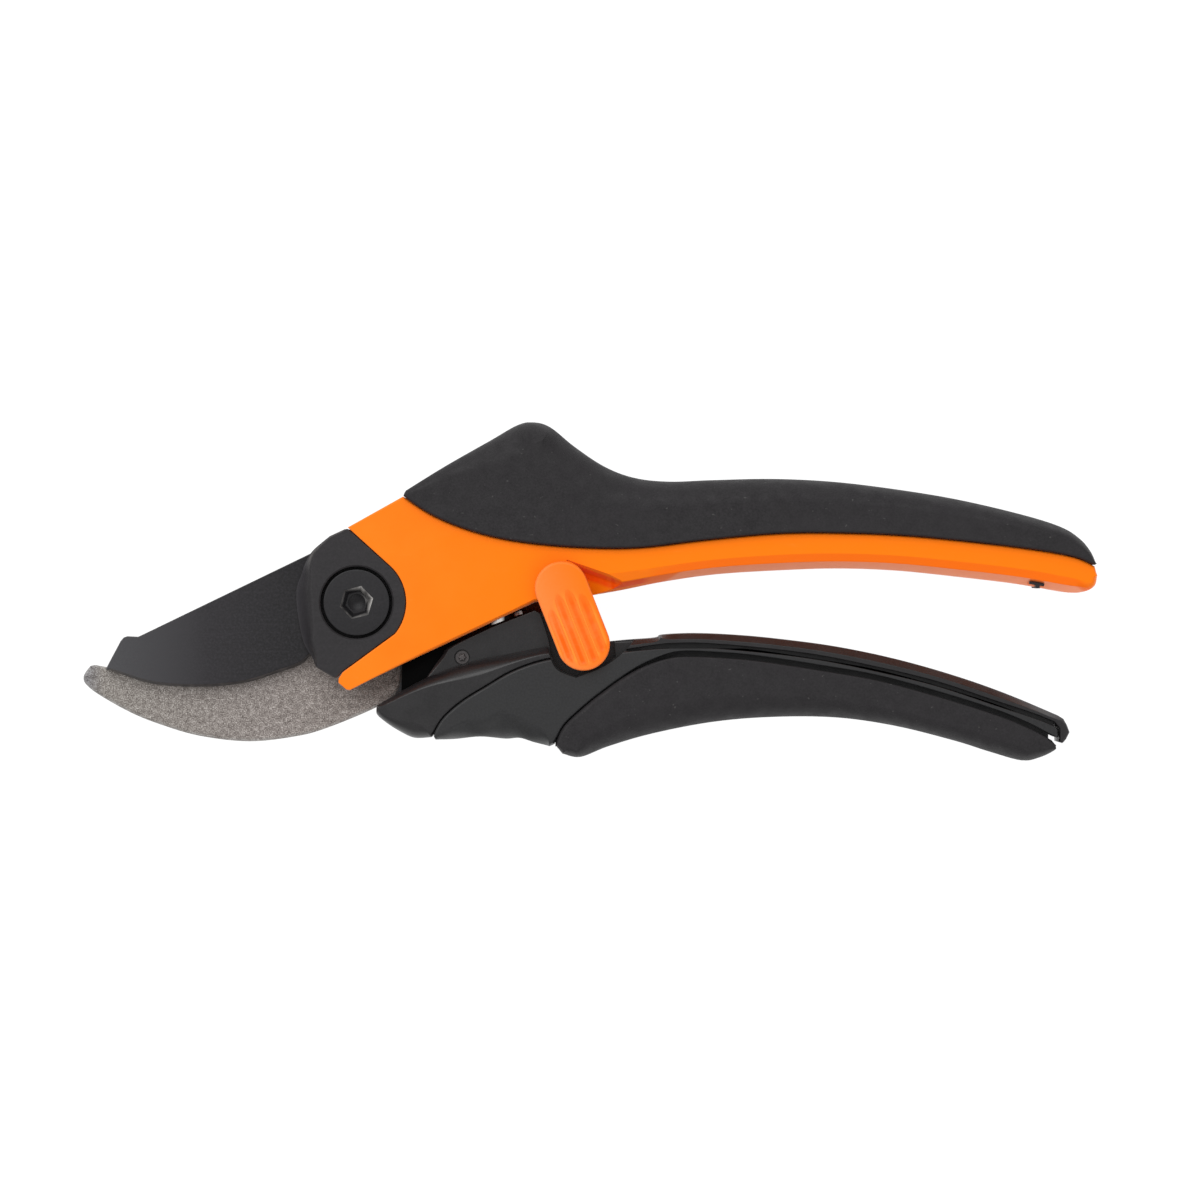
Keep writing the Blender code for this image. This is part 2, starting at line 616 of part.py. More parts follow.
def lower_grip(b, mat):
    grip = b.add(plate("lower_grip", lower_grip_outline(), -GRIP_HALF, GRIP_HALF, 2.6), "lower_axis", mat)
    room = grown(core_plate_outline(), GAP)
    b.cut(grip, plate("lower_rib_room", room, -PLATE_HALF - GAP, PLATE_HALF + GAP))


def grind_edge(blade, outline):
    """Draws the front rim of the cutting edge back, which leaves a ground face down to the edge."""
    inner = grown(outline, -GRIND_STEP)
    for vert in blade.data.vertices:
        for (x, y), (gx, gy) in zip(outline, inner):
            at_edge = (x, y) in CUTTING_EDGE and math.hypot(vert.co.x - x * MM, vert.co.y - y * MM) < 1e-6
            if at_edge and vert.co.z > (BLADE_LOW + BLADE_HIGH) / 2 * MM:
                width = min(GRIND_WIDTH, (x + GRIND_TIP) * 0.35, (GRIND_HEEL - x) * 0.6)
                vert.co.x = (x + (gx - x) * width) * MM
                vert.co.y = (y + (gy - y) * width) * MM


def cutting_blade(b, mat):
    outline = blade_outline()
    blade = plate("cutting_blade", outline, BLADE_LOW, BLADE_HIGH)
    grind_edge(blade, outline)
    b.add(blade, "lower_axis", mat)
    b.cut(blade, rod("blade_bolt_hole", (0, 0), BLADE_HOLE_R, -THROUGH, THROUGH))
    for name, centre in CORE_RIVETS.items():
        b.cut(blade, rod(name + "_tang_hole", centre, CORE_RIVET_R + GAP, -THROUGH, THROUGH, 16))


def blade_rivets(b, mat):
    for name, centre in CORE_RIVETS.items():
        half = PLATE_HALF + 0.15
        b.add(rod(name, centre, CORE_RIVET_R, -half, half, 16), "lower_axis", mat)


# ---------------------------------------------------------------- lock

def lock_catch(b, mat):
    catch = b.add(plate("lock_catch", catch_outline(), CATCH_LOW, CATCH_HIGH, 0.7), "lock_axis", mat)
    b.join(catch, rod("catch_barrel", (CATCH_X, CATCH_Y), BARREL_R, BARREL_LOW, CATCH_LOW + 1))
    b.join(catch, rod("catch_stud", about_catch(STUD_REACH), STUD_R, STUD_LOW, CATCH_LOW + 1))
    b.cut(catch, rod("catch_pin_hole", (CATCH_X, CATCH_Y), LOCK_PIN_R + GAP, 0, LOCK_PIN_HIGH + 0.4))


def lock_hardware(b, steel):
    profile = [(0, LOCK_PIN_HIGH), (LOCK_PIN_R, LOCK_PIN_HIGH), (LOCK_PIN_R, RIVET_HEAD_HIGH),
               (LOCK_PIN_HEAD_R, RIVET_HEAD_HIGH), (LOCK_PIN_HEAD_R, RIVET_HEAD_LOW), (0, RIVET_HEAD_LOW)]
    pin = b.add(turned("lock_pin", profile, 16), "tool_frame", steel)
    pin.location = (CATCH_X * MM, CATCH_Y * MM, 0)
    washer = ring("lock_wave_washer", (CATCH_X, CATCH_Y), LOCK_PIN_R + GAP, BARREL_R - 0.1,
                  WASHER_SEAT + GAP, BARREL_LOW - GAP, 20)
    b.add(washer, "tool_frame", steel)


def main():
    clear_scene()
    b = Builder()
    root = b.frame("tool_frame", PIVOT_X, PIVOT_Y)
    b.frame("lower_axis", 0, 0, root)
    b.frame("lock_axis", CATCH_X, CATCH_Y, root)

    orange = material("orange_nylon", (0.95, 0.27, 0.02), 0.42)
    rubber = material("black_rubber", (0.035, 0.033, 0.035), 0.75)
    shell = material("black_nylon", (0.04, 0.04, 0.042), 0.5)
    sleeve = material("soft_sleeve", (0.045, 0.045, 0.047), 0.6)
    coated = material("black_coated_steel", (0.06, 0.056, 0.061), 0.45, 0.5)
    blasted = material("blasted_steel", (0.25, 0.22, 0.21), 0.7, 0.6)
    cover = material("cover_plate", (0.04, 0.038, 0.042), 0.5, 0.3)
    steel = material("bright_steel", (0.55, 0.55, 0.56), 0.3, 1.0)
    oxide = material("black_oxide_steel", (0.03, 0.03, 0.031), 0.4, 0.8)
    bronze = material("bronze", (0.45, 0.27, 0.1), 0.4, 1.0)
    acetal = material("acetal", (0.7, 0.69, 0.66), 0.5)

    upper_handle_body(b, orange)
    upper_grip(b, rubber)
    counter_blade(b, blasted)
    hook_rivets(b, steel)
    pivot_cover(b, cover, "pivot_cover_front", COVER_LOW, COVER_HIGH)
    pivot_cover(b, cover, "pivot_cover_back", -COVER_HIGH, HOOK_LOW - GAP)
    pivot_bolt(b, oxide)
    pivot_hardware(b, oxide, bronze, acetal)
    spring_seat(b, acetal, "spring_seat_upper", "tool_frame", SPRING_ROOM - GAP, -1)
    return_spring(b, steel)

    lower_handle_core(b, shell)
    lower_handle_sleeve(b, sleeve)
    lower_grip(b, rubber)
    cutting_blade(b, coated)
    blade_rivets(b, steel)
    spring_seat(b, acetal, "spring_seat_lower", "lower_axis", GAP, 1)

    lock_catch(b, orange)
    lock_hardware(b, steel)


main()
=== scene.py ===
"""The bypass pruner's looks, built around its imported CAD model.

Outlines are in millimetres from the pivot's centre, with X along the handles and Y across them.
Heights are in millimetres from the mid-plane between the two blades. The tool lies on its back,
closed and locked, and the camera looks straight down on it.
"""
import json
import math

import bmesh
import bpy
import numpy as np
from mathutils import Matrix, Vector


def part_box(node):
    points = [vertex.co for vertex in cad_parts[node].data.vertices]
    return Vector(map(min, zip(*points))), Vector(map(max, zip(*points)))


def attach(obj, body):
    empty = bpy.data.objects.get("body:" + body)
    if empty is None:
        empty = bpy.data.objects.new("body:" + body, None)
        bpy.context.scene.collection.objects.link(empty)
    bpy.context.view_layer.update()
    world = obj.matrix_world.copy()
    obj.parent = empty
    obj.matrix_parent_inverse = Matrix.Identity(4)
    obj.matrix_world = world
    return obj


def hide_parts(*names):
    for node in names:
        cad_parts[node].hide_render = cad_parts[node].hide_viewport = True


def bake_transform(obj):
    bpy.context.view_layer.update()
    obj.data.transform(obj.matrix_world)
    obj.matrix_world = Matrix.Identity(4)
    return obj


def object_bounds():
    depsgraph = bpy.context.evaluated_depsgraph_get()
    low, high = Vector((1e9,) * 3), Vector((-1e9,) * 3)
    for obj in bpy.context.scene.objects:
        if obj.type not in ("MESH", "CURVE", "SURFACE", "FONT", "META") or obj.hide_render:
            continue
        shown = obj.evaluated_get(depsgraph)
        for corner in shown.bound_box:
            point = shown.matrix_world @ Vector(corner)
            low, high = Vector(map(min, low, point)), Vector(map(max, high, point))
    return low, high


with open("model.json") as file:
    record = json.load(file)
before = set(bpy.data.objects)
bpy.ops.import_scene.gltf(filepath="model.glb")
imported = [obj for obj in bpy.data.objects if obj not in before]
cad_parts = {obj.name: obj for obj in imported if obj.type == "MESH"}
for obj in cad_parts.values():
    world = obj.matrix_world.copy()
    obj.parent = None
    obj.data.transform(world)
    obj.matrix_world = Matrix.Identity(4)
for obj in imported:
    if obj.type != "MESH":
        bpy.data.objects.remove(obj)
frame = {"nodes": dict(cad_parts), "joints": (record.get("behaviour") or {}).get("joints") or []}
CAD_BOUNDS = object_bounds()

MM = 0.001
JOINTS = {joint["name"]: joint for joint in frame["joints"]}
PIVOT = Vector(JOINTS["handle_pivot"]["pos_m"])
CATCH_AXIS = Vector(JOINTS["lock_catch_pivot"]["pos_m"])
FLOOR_Z = CAD_BOUNDS[0][2]


def low_of(node):
    """A CAD node's lowest height, in millimetres from the mid-plane."""
    return (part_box(node)[0].z - PIVOT.z) / MM


def high_of(node):
    """A CAD node's highest height, in millimetres from the mid-plane."""
    return (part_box(node)[1].z - PIVOT.z) / MM


# Heights that the CAD sets
GRIP_HALF = high_of("upper_grip")
CHEEK_HALF = -low_of("upper_handle_body")
CORE_HALF = high_of("lower_handle_core")
SLEEVE_HALF = high_of("lower_handle_sleeve")
BLADE_LOW, BLADE_HIGH = low_of("cutting_blade"), high_of("cutting_blade")
HOOK_LOW, HOOK_HIGH = low_of("counter_blade"), high_of("counter_blade")
CATCH_HIGH = high_of("lock_catch")
BOLT_LOW, BOLT_HIGH = low_of("pivot_bolt"), high_of("pivot_bolt")

# Heights and radii that match the CAD's own design
SLOT_HALF = 5.0
PLATE_HALF = 4.6
POCKET_FLOOR = 4.8
WELL_FLOOR = 1.0
CATCH_LOW = CHEEK_HALF + 0.3
CATCH_X = (CATCH_AXIS.x - PIVOT.x) / MM
CATCH_Y = (CATCH_AXIS.y - PIVOT.y) / MM
BLADE_ROOT_R = 13.04
HOOK_ROOT_R = 12.4
SLOT_ROOT_R = 14.2
HOOK_BOSS_R = 19.3
HOOK_SWEEP_HALF = 4.1
BACK_LIP_LOW, BACK_LIP_HIGH = -7.3, -5.15
THROUGH = 12.0
BLADE_HOLE_R = 5.3
# Where the blade's tang takes painted shade: right of this X and below this Y
TANG_SHADE_LEFT, TANG_SHADE_TOP = 9.0, -6.0
BOLT_R = 4.0
BOLT_HEAD_R = 6.7
BOLT_HEAD_LOW = 4.0
COVER_ARC_R = 9.9
COVER_HOLE_R = 7.3
SOCKET_R = 3.25
SOCKET_TURN = math.radians(14)
DRILL_R = 1.75
# The side of the bolt's socket where its painted highlight is strongest
HIGHLIGHT_SIDE = math.radians(25)
CATCH_TILT = math.radians(-68.6)
CATCH_HEAD = 0.35
CATCH_REACH = 12.49
CATCH_R = 5.35
CATCH_SWEEP_R = CATCH_REACH + CATCH_R + 0.5
BARREL_R = 3.2
BARREL_LOW = 5.3
STUD_R = 2.5
STUD_REACH = 8.2
STUD_LOW = 5.1
SPRING_X, SPRING_Y = 29.8, -3.95
SPRING_TILT = math.radians(20.5)
SPRING_R = 3.85
WIRE_R = 0.55
RIVET = (21.3, -11.1)
SPRING_TURNS = 6
SPRING_ROOM = 11.3
SPRING_FOOT = 1.85

# The flutes along the catch: where each lies across it, and the bowed line that they start from
FLUTES = (-3.75, -1.35, 0.9, 3.15)
FLUTE_PITCH = 2.28
FLUTE_R = 1.2
FLUTE_DEPTH = 0.62
FLUTE_START = 0.6
FLUTE_BOW = 0.2
FLUTE_END_R = 4.5

# Seams, and how finely an outline is drawn
SEAM_GAP = 0.12
TONGUE_HALF = 5.8
STEPS = 6
SPACING = 0.75


# ---------------------------------------- outlines

def smooth(points):
    """A Catmull-Rom curve through an open list of points."""
    ends = [points[0], *points, points[-1]]
    result = []
    for p0, p1, p2, p3 in zip(ends, ends[1:], ends[2:], ends[3:]):
        for i in range(STEPS):
            t = i / STEPS
            result.append(tuple(
                0.5 * (2 * b + (c - a) * t + (2 * a - 5 * b + 4 * c - d) * t * t
                       + (3 * b - a - 3 * c + d) * t ** 3)
                for a, b, c, d in zip(p0, p1, p2, p3)))
    return result + [points[-1]]


def arc(radius, start, end, steps, centre=(0.0, 0.0)):
    angles = [math.radians(start + (end - start) * i / steps) for i in range(steps + 1)]
    return [(centre[0] + radius * math.cos(a), centre[1] + radius * math.sin(a)) for a in angles]


def about_catch(along, across=0.0):
    c, s = math.cos(CATCH_TILT), math.sin(CATCH_TILT)
    return CATCH_X + along * c - across * s, CATCH_Y + along * s + across * c


def about_spring(across, up):
    c, s = math.cos(SPRING_TILT), math.sin(SPRING_TILT)
    return SPRING_X + across * c - up * s, SPRING_Y + across * s + up * c


UPPER_SEAM = smooth([(9.4, 21.4), (14.7, 17.9), (20.8, 15.2), (28, 13.1), (36, 11.8), (46, 11.0),
                     (57, 11.0), (70, 12.5), (84, 13.8), (96, 14.0), (110, 13.5), (124, 12.2),
                     (137, 10.6), (145, 9.1), (149.1, 7.3)])
UPPER_BACK = smooth([(149.5, 7.8), (148.6, 10.2), (146.4, 12.9), (142.4, 15.4), (134, 18.0), (121, 21.0),
                     (108, 23.1), (96, 24.5), (84, 25.05), (72, 24.8), (63, 24.5), (56, 25.3),
                     (50, 27.6), (44, 31.6), (39.3, 35.4), (36, 36.5), (32.6, 36.0), (27, 32.8),
                     (18, 27.6), (10.0, 22.6)])
HANDLE_EDGE = smooth([(149.7, 5.4), (149.2, 3.4), (147.1, 2.2), (143.5, 2.1), (133.5, 3.8),
                      (121, 5.3), (109, 6.5), (97, 6.9), (85, 6.5), (72.6, 5.7), (62, 4.2),
                      (53, 2.4), (44, 0.9), (36, 0.0)])
LEDGE_TOP = smooth([(4.1, -20.8), (14.1, -15.2), (23.2, -11.9), (31.7, -10.2), (37.9, -9.0)])
LOWER_TOP = smooth([(37.9, -9.0), (46, -8.4), (54, -7.6), (60.3, -7.1), (61.8, -6.5), (68, -6.2),
                    (76, -6.5), (85, -7.3), (97, -8.9), (109, -11.4), (121, -14.8), (131.5, -18.5),
                    (141.7, -22.8)])
LOWER_SEAM = smooth([(140.9, -24.9), (136.7, -23.2), (128.8, -20.6), (117, -16.7), (105, -13.8),
                     (93, -11.4), (81, -9.9), (69, -9.0), (60, -9.3), (46, -10.6), (38.3, -11.5),
                     (31.7, -13.7), (26.3, -16.8), (21.3, -19.9), (17.4, -23.4), (15.2, -27.2)])
GRIP_SEAM = smooth([(40.0, -28.6), (41.8, -24.9), (45.3, -21.5), (49.2, -18.3), (54.6, -14.5),
                    (59.7, -12.1), (65.4, -10.8), (73, -11.0), (81, -11.7), (93, -13.5),
                    (105, -15.6), (117, -18.8), (128.8, -22.5), (135.5, -25.2), (140.3, -27.7)])
FINGER_WAVES = smooth([(16.0, -27.7), (20, -27.65), (25, -27.1), (30, -27.6), (33, -27.4),
                       (36, -28.3), (39.0, -29.1)])
GRIP_UNDERSIDE = smooth([(141.3, -28.8), (141.2, -29.9), (138.2, -31.4), (134.6, -32.0), (128, -30.2),
                         (121, -28.0), (109, -25.0), (97, -23.3), (84, -23.2), (72, -24.2),
                         (60, -26.5), (51, -29.1), (45.2, -31.3), (41.6, -30.6)])
POCKET_LINE = [(38, 10.2), (44.4, 8.0), (48.1, 6.75), (52.1, 5.35), (55.1, 4.65), (60, 3.7)]
CUTTING_EDGE = smooth([(-10.1, -11.4), (-11.8, -12.7), (-15.4, -14.0), (-23.5, -16.4), (-33, -17.1),
                       (-42.3, -16.3), (-50.9, -13.4)])


def cover_side(gap):
    top = (-1.9 + gap, 15.0 + gap)
    low = (-2.9 + gap, -13.9 - gap)
    return [top, *arc(COVER_ARC_R + gap, 48, -39, 40), low]


# How a rim runs from the side wall up to the face: RIM_STEPS pairs of how far in and how far up
RIM_STEPS = 8
RIM_LAST = RIM_STEPS - 1
ROUND = [(1 - math.cos(a), math.sin(a))
         for a in (math.radians(90 * i / RIM_LAST) for i in range(RIM_STEPS))]
LEDGE = [(0, 0), (0.05, 0.12), (0.16, 0.32), (0.34, 0.56),
         (0.55, 0.77), (0.74, 0.90), (0.89, 0.975), (1, 1)]
CHAMFER = [(0, 0), (0.02, 0.07), (0.07, 0.14), (0.30, 0.37),
           (0.60, 0.66), (0.88, 0.93), (0.95, 0.985), (1, 1)]
FACETED = [(0, 0), (0.03, 0.08), (0.22, 0.42), (0.445, 0.795),
           (0.475, 0.82), (0.74, 0.905), (0.97, 0.995), (1, 1)]
SOFT = [(0, 0), (0.14, 0.10), (0.28, 0.30), (0.42, 0.52),
        (0.56, 0.72), (0.70, 0.87), (0.85, 0.965), (1, 1)]


def shifted(points, rise, start=None, end=None):
    """Points moved along Y by rise, which grows from 0 between two values of X if they are given."""
    if start is None:
        return [(x, y + rise) for x, y in points]
    return [(x, y + rise * min(max((x - start) / (end - start), 0.0), 1.0)) for x, y in points]


def rim(points, width, depth, shape=ROUND):
    """Points of an outline, each followed by its rim's steps inwards and then upwards."""
    steps = [f * width for f, _ in shape] + [g * depth for _, g in shape]
    return [(x, y, *steps) for x, y in points]


def ramp(points, start, end, first, last):
    """Points whose rim changes from one (width, depth, shape) to another between two values of X."""
    result = []
    for a, b in zip(rim(points, *first), rim(points, *last)):
        t = min(max((a[0] - start) / (end - start), 0.0), 1.0)
        result.append(tuple(p + (q - p) * t * t * (3 - 2 * t) for p, q in zip(a, b)))
    return result


# ---------------------------------------- mesh tools

def dense(outline):
    """A closed outline with no step longer than SPACING."""
    result = []
    for a, b in zip(outline, outline[1:] + outline[:1]):
        length = math.hypot(b[0] - a[0], b[1] - a[1])
        if length < 1e-4:
            continue
        count = max(1, math.ceil(length / SPACING))
        for i in range(count):
            result.append([p + (q - p) * i / count for p, q in zip(a, b)])
    return np.array(result)


def averaged(values, passes):
    for _ in range(passes):
        values = (np.roll(values, 1, 0) + 2 * values + np.roll(values, -1, 0)) / 4
    return values


def inward(points):
    """The unit normal at each point of a closed outline, towards its inside."""
    step = np.roll(points, -1, 0) - np.roll(points, 1, 0)
    normal = np.stack([-step[:, 1], step[:, 0]], 1)
    area = np.sum(points[:, 0] * np.roll(points[:, 1], -1) - np.roll(points[:, 0], -1) * points[:, 1])
    normal *= 1 if area > 0 else -1
    return normal / np.linalg.norm(normal, axis=1)[:, None]


def room_inside(points, normals):
    """The radius of the largest circle inside the outline that touches each point."""
    away = points[None] - points[:, None]
    along = np.einsum("ijk,ik->ij", away, normals)
    square = np.sum(away ** 2, 2)
    radius = np.where(along > 1e-6, square / (2 * np.maximum(along, 1e-9)), 1e9)
    return radius.min(1)


def moulding(name, outline, low, high, mirrored=True, reach=0.86):
    """A solid with the given outline, whose rims follow the steps that each point carries, up to
    reach times the room there is. Its edge attribute is 1 along narrow rims and fades on wide ones.
    Its fall attribute runs from 0 at the top of a wide rim to 1 at its foot."""
    data = dense(outline)
    points, fields = data[:, :2], averaged(data[:, 2:], 5)
    insets, rises = fields[:, :RIM_STEPS], fields[:, RIM_STEPS:]
    normals = averaged(inward(points), 1)
    normals /= np.linalg.norm(normals, axis=1)[:, None]
    room = room_inside(points, normals) * reach
    width = np.minimum(insets[:, RIM_LAST], room)
    for _ in range(6):
        width = np.minimum(averaged(width, 2), room)
    insets = insets * (width / insets[:, RIM_LAST])[:, None]
    limit = (high - low) / (2 if mirrored else 1) - 0.02
    rises = rises * np.minimum(1, limit / rises[:, RIM_LAST])[:, None]
    upper = [(points + normals * insets[:, k:k + 1], rises[:, RIM_LAST] - rises[:, k])
             for k in range(RIM_STEPS)]
    rings = [(points, np.full(len(points), low))]
    if mirrored:
        rings = [(ring, low + drop) for ring, drop in reversed(upper)]
    rings += [(ring, high - drop) for ring, drop in upper]
    narrow = np.minimum(1, 0.9 / width)
    # Weights for the edge attribute, which lightens rims: partly scuffing, partly a painted highlight
    lift = [math.sin(math.pi * k / RIM_LAST) for k in range(RIM_STEPS)]
    edge_weights = [narrow * k for k in (lift[::-1] if mirrored else [0]) + lift]
    wide = np.clip((width - 1.5) / 1.5, 0, 1)
    steps = [1 - k / RIM_LAST for k in range(RIM_STEPS)]
    falls = [wide * k for k in (steps[::-1] if mirrored else [1]) + steps]
    bm = bmesh.new()
    edge = bm.verts.layers.float.new("edge")
    fall = bm.verts.layers.float.new("fall")
    loops = []
    for (ring, heights), edge_wear_and_highlight, fallen in zip(rings, edge_weights, falls):
        loop = [vertex(bm, x, y, z) for (x, y), z in zip(ring, heights)]
        for vert, a, b in zip(loop, edge_wear_and_highlight, fallen):
            vert[edge] = a
            vert[fall] = b
        loops.append(loop)
    return skinned(name, bm, loops)


def vertex(bm, x, y, z):
    """A vertex at a place in millimetres."""
    return bm.verts.new((x * MM, y * MM, z * MM))


def skinned(name, bm, rings):
    """A solid through equal closed rings of vertices, closed at its first and last ring."""
    for a, b in zip(rings, rings[1:]):
        for i in range(len(a)):
            j = (i + 1) % len(a)
            bm.faces.new((a[i], a[j], b[j], b[i]))
    bm.faces.new(rings[0][::-1])
    bm.faces.new(rings[-1])
    return from_bmesh(name, bm)


def from_bmesh(name, bm):
    bmesh.ops.recalc_face_normals(bm, faces=bm.faces)
    mesh = bpy.data.meshes.new(name)
    bm.to_mesh(mesh)
    bm.free()
    return placed(name, mesh)


def placed(name, data):
    """A new object in the scene."""
    obj = bpy.data.objects.new(name, data)
    bpy.context.scene.collection.objects.link(obj)
    return obj


def prism(name, outline, low, high):
    bm = bmesh.new()
    return skinned(name, bm, [[vertex(bm, x, y, z) for x, y in outline] for z in (low, high)])


def lathe(name, profile, sides=96, centre=(0.0, 0.0)):
    """A solid turned about a vertical axis, from a profile that starts and ends on that axis."""
    bm = bmesh.new()
    rings = []
    turns = [2 * math.pi * i / sides for i in range(sides)]
    for r, z in profile:
        rings.append([vertex(bm, centre[0] + r * math.cos(a), centre[1] + r * math.sin(a), z)
                      for a in (turns if r else [0])])
    for a, b in zip(rings, rings[1:]):
        for i in range(sides):
            j = (i + 1) % sides
            corners = [a[i % len(a)], a[j % len(a)], b[j % len(b)], b[i % len(b)]]
            bm.faces.new([v for k, v in enumerate(corners) if v not in corners[:k]])
    return from_bmesh(name, bm)


def height_field(name, rows, top):
    """A solid with a flat top whose underside follows a grid of points."""
    bm = bmesh.new()
    under = [[vertex(bm, x, y, z) for x, y, z in row] for row in rows]
    over = [[vertex(bm, x, y, top) for x, y, _ in row] for row in rows]
    strips = [*zip(under, under[1:]), *zip(over, over[1:]), (under[0], over[0]), (under[-1], over[-1]),
              ([row[0] for row in under], [row[0] for row in over]),
              ([row[-1] for row in under], [row[-1] for row in over])]
    for a, b in strips:
        for i in range(len(a) - 1):
            bm.faces.new((a[i], a[i + 1], b[i + 1], b[i]))
    return from_bmesh(name, bm)


def tongue(points, rise):
    """A strip along a seam, from the piece it belongs to into its neighbour, which closes the gap."""
    outline = shifted(points, -0.6 * rise) + shifted(points, rise)[::-1]
    return prism("tongue", outline, -TONGUE_HALF, TONGUE_HALF)


def boolean(obj, tool, operation="DIFFERENCE"):
    """Cuts or joins obj with tool, and removes the tool."""
    step = obj.modifiers.new("boolean", "BOOLEAN")
    step.operation = operation
    step.solver = "EXACT"
    step.object = tool
    graph = bpy.context.evaluated_depsgraph_get()
    mesh = bpy.data.meshes.new_from_object(obj.evaluated_get(graph))
    obj.modifiers.clear()
    obj.data = mesh
    bpy.data.objects.remove(tool)


def finish_piece(obj, mat, body, node=None, angle=32):
    """Gives a piece its place, shading, material and body, and keeps it inside its CAD node's box."""
    obj.data.transform(Matrix.Translation(PIVOT))
    if node:
        low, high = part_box(node)
        for vert in obj.data.vertices:
            vert.co = [min(max(c, a), b) for c, a, b in zip(vert.co, low, high)]
    obj.data.materials.clear()
    obj.data.materials.append(mat)
    for polygon in obj.data.polygons:
        polygon.use_smooth = True
        polygon.material_index = 0
    obj.data.set_sharp_from_angle(angle=math.radians(angle))
    weighted = obj.modifiers.new("weighted", "WEIGHTED_NORMAL")
    weighted.keep_sharp = True
    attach(obj, body)
    if node:
        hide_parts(node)


# ---------------------------------------- materials

class Nodes:
    """A small helper that adds and links shader nodes."""

    def __init__(self, name):
        self.mat = bpy.data.materials.new(name)
        self.mat.use_nodes = True
        self.tree = self.mat.node_tree
        self.shader = self.tree.nodes["Principled BSDF"]
        self.coords = self.add("ShaderNodeTexCoord").outputs["Object"]

    def add(self, kind, **settings):
        node = self.tree.nodes.new(kind)
        for key, value in settings.items():
            setattr(node, key, value)
        return node

    def give(self, socket, value):
        """Links a socket to an input, or sets the input to a number or a colour."""
        if isinstance(value, bpy.types.NodeSocket):
            self.tree.links.new(value, socket)
        else:
            socket.default_value = (*value, 1.0) if isinstance(value, tuple) else value

    def fill(self, node, **values):
        """Gives a node its inputs, with _ for each space in their names."""
        for name, value in values.items():
            self.give(node.inputs[name.replace("_", " ")], value)

    def set(self, **values):
        self.fill(self.shader, **values)

    def stretched(self, scale):
        mapping = self.add("ShaderNodeMapping")
        mapping.inputs["Scale"].default_value = scale
        self.fill(mapping, Vector=self.coords)
        return mapping.outputs["Vector"]

    def noise(self, size_mm, detail=3.0, roughness=0.5, vector=None):
        """Noise whose features are about size_mm across, from 0 to 1."""
        node = self.add("ShaderNodeTexNoise")
        self.fill(node, Scale=1 / (size_mm * MM), Detail=detail, Roughness=roughness,
                  Vector=vector or self.coords)
        return node.outputs["Fac"]

    def ramp(self, source, stops):
        """A colour ramp through (position, number or colour) stops."""
        node = self.add("ShaderNodeValToRGB")
        elements = node.color_ramp.elements
        while len(elements) < len(stops):
            elements.new(0.5)
        for element, (position, colour) in zip(elements, stops):
            element.position = position
            element.color = (*colour, 1.0) if isinstance(colour, tuple) else (colour, colour, colour, 1.0)
        self.fill(node, Fac=source)
        return node.outputs["Color"]

    def mix(self, factor, a, b, blend="MIX"):
        node = self.add("ShaderNodeMix", data_type="RGBA", blend_type=blend)
        self.fill(node, Factor=factor, A=a, B=b)
        return node.outputs["Result"]

    def bump(self, heights):
        """heights is a list of (source, depth in millimetres, strength)."""
        normal = None
        for source, distance, strength in heights:
            node = self.add("ShaderNodeBump")
            self.fill(node, Strength=strength, Distance=distance * MM, Height=source)
            if normal:
                self.fill(node, Normal=normal)
            normal = node.outputs["Normal"]
        self.set(Normal=normal)

    def attribute(self, name):
        return self.add("ShaderNodeAttribute", attribute_name=name).outputs["Fac"]

    def edge_wear_and_highlight(self, amount):
        """Up to the given amount along the moulding's rims and the bolt's socket, broken up by noise:
        partly scuffing from handling and partly a painted highlight, most of all on the catch's rim and
        round the bolt's socket.
        """
        broken = self.ramp(self.noise(1.8, 4), [(0.38, 0.25), (0.62, 1.0)])
        return self.times(self.ramp(self.attribute("edge"), [(0.35, 0.0), (1.0, amount)]), broken)

    def along(self, direction, start, end):
        """0 to 1 between two distances along a direction, in millimetres from the pivot."""
        dot = self.add("ShaderNodeVectorMath", operation="DOT_PRODUCT")
        dot.inputs[1].default_value = direction
        self.give(dot.inputs[0], self.coords)
        scale = self.add("ShaderNodeMapRange")
        origin = PIVOT.dot(Vector(direction))
        self.fill(scale, Value=dot.outputs["Value"], From_Min=origin + start * MM,
                  From_Max=origin + end * MM)
        return scale.outputs["Result"]

    def along_x(self, start, end):
        return self.along((1, 0, 0), start, end)

    def along_z(self, start, end):
        return self.along((0, 0, 1), start, end)

    def calc(self, operation, *values):
        """One step of arithmetic on sockets and numbers."""
        node = self.add("ShaderNodeMath", operation=operation)
        for socket, value in zip(node.inputs, values):
            self.give(socket, value)
        return node.outputs["Value"]

    def times(self, first, *others):
        """The product of sockets and numbers."""
        for value in others:
            first = self.calc("MULTIPLY", first, value)
        return first


def linear(*rgb):
    """sRGB values from 0 to 255 as linear light."""
    return tuple((c / 255 / 12.92) if c <= 10 else ((c / 255 + 0.055) / 1.055) ** 2.4 for c in rgb)


def shade(base, factor):
    """An sRGB colour made lighter or darker, as linear light."""
    return linear(*[c * factor for c in base])


# Colour ramp stops: RISING only clamps a value to 0 and 1, and SPREAD spreads noise over both
RISING = [(0.0, 0.0), (1.0, 1.0)]
SPREAD = [(0.35, 0.0), (0.7, 1.0)]

# Tones of the orange pieces, in linear light
HANDLE_TONE = (0.92, 0.183, 0.0005)
# Painted shade in the pocket beside the catch
POCKET_SHADE_TONE = (0.86, 0.075, 0.0005)
# Painted shade on the upper facet, which tilts away from the light
UPPER_FACET_SHADE_TONE = (0.97, 0.155, 0.0005)
# A painted reflection: the pale salmon of the lower facet, which faces the bright floor
LOWER_FACET_REFLECTION_TONE = (0.98, 0.31, 0.15)
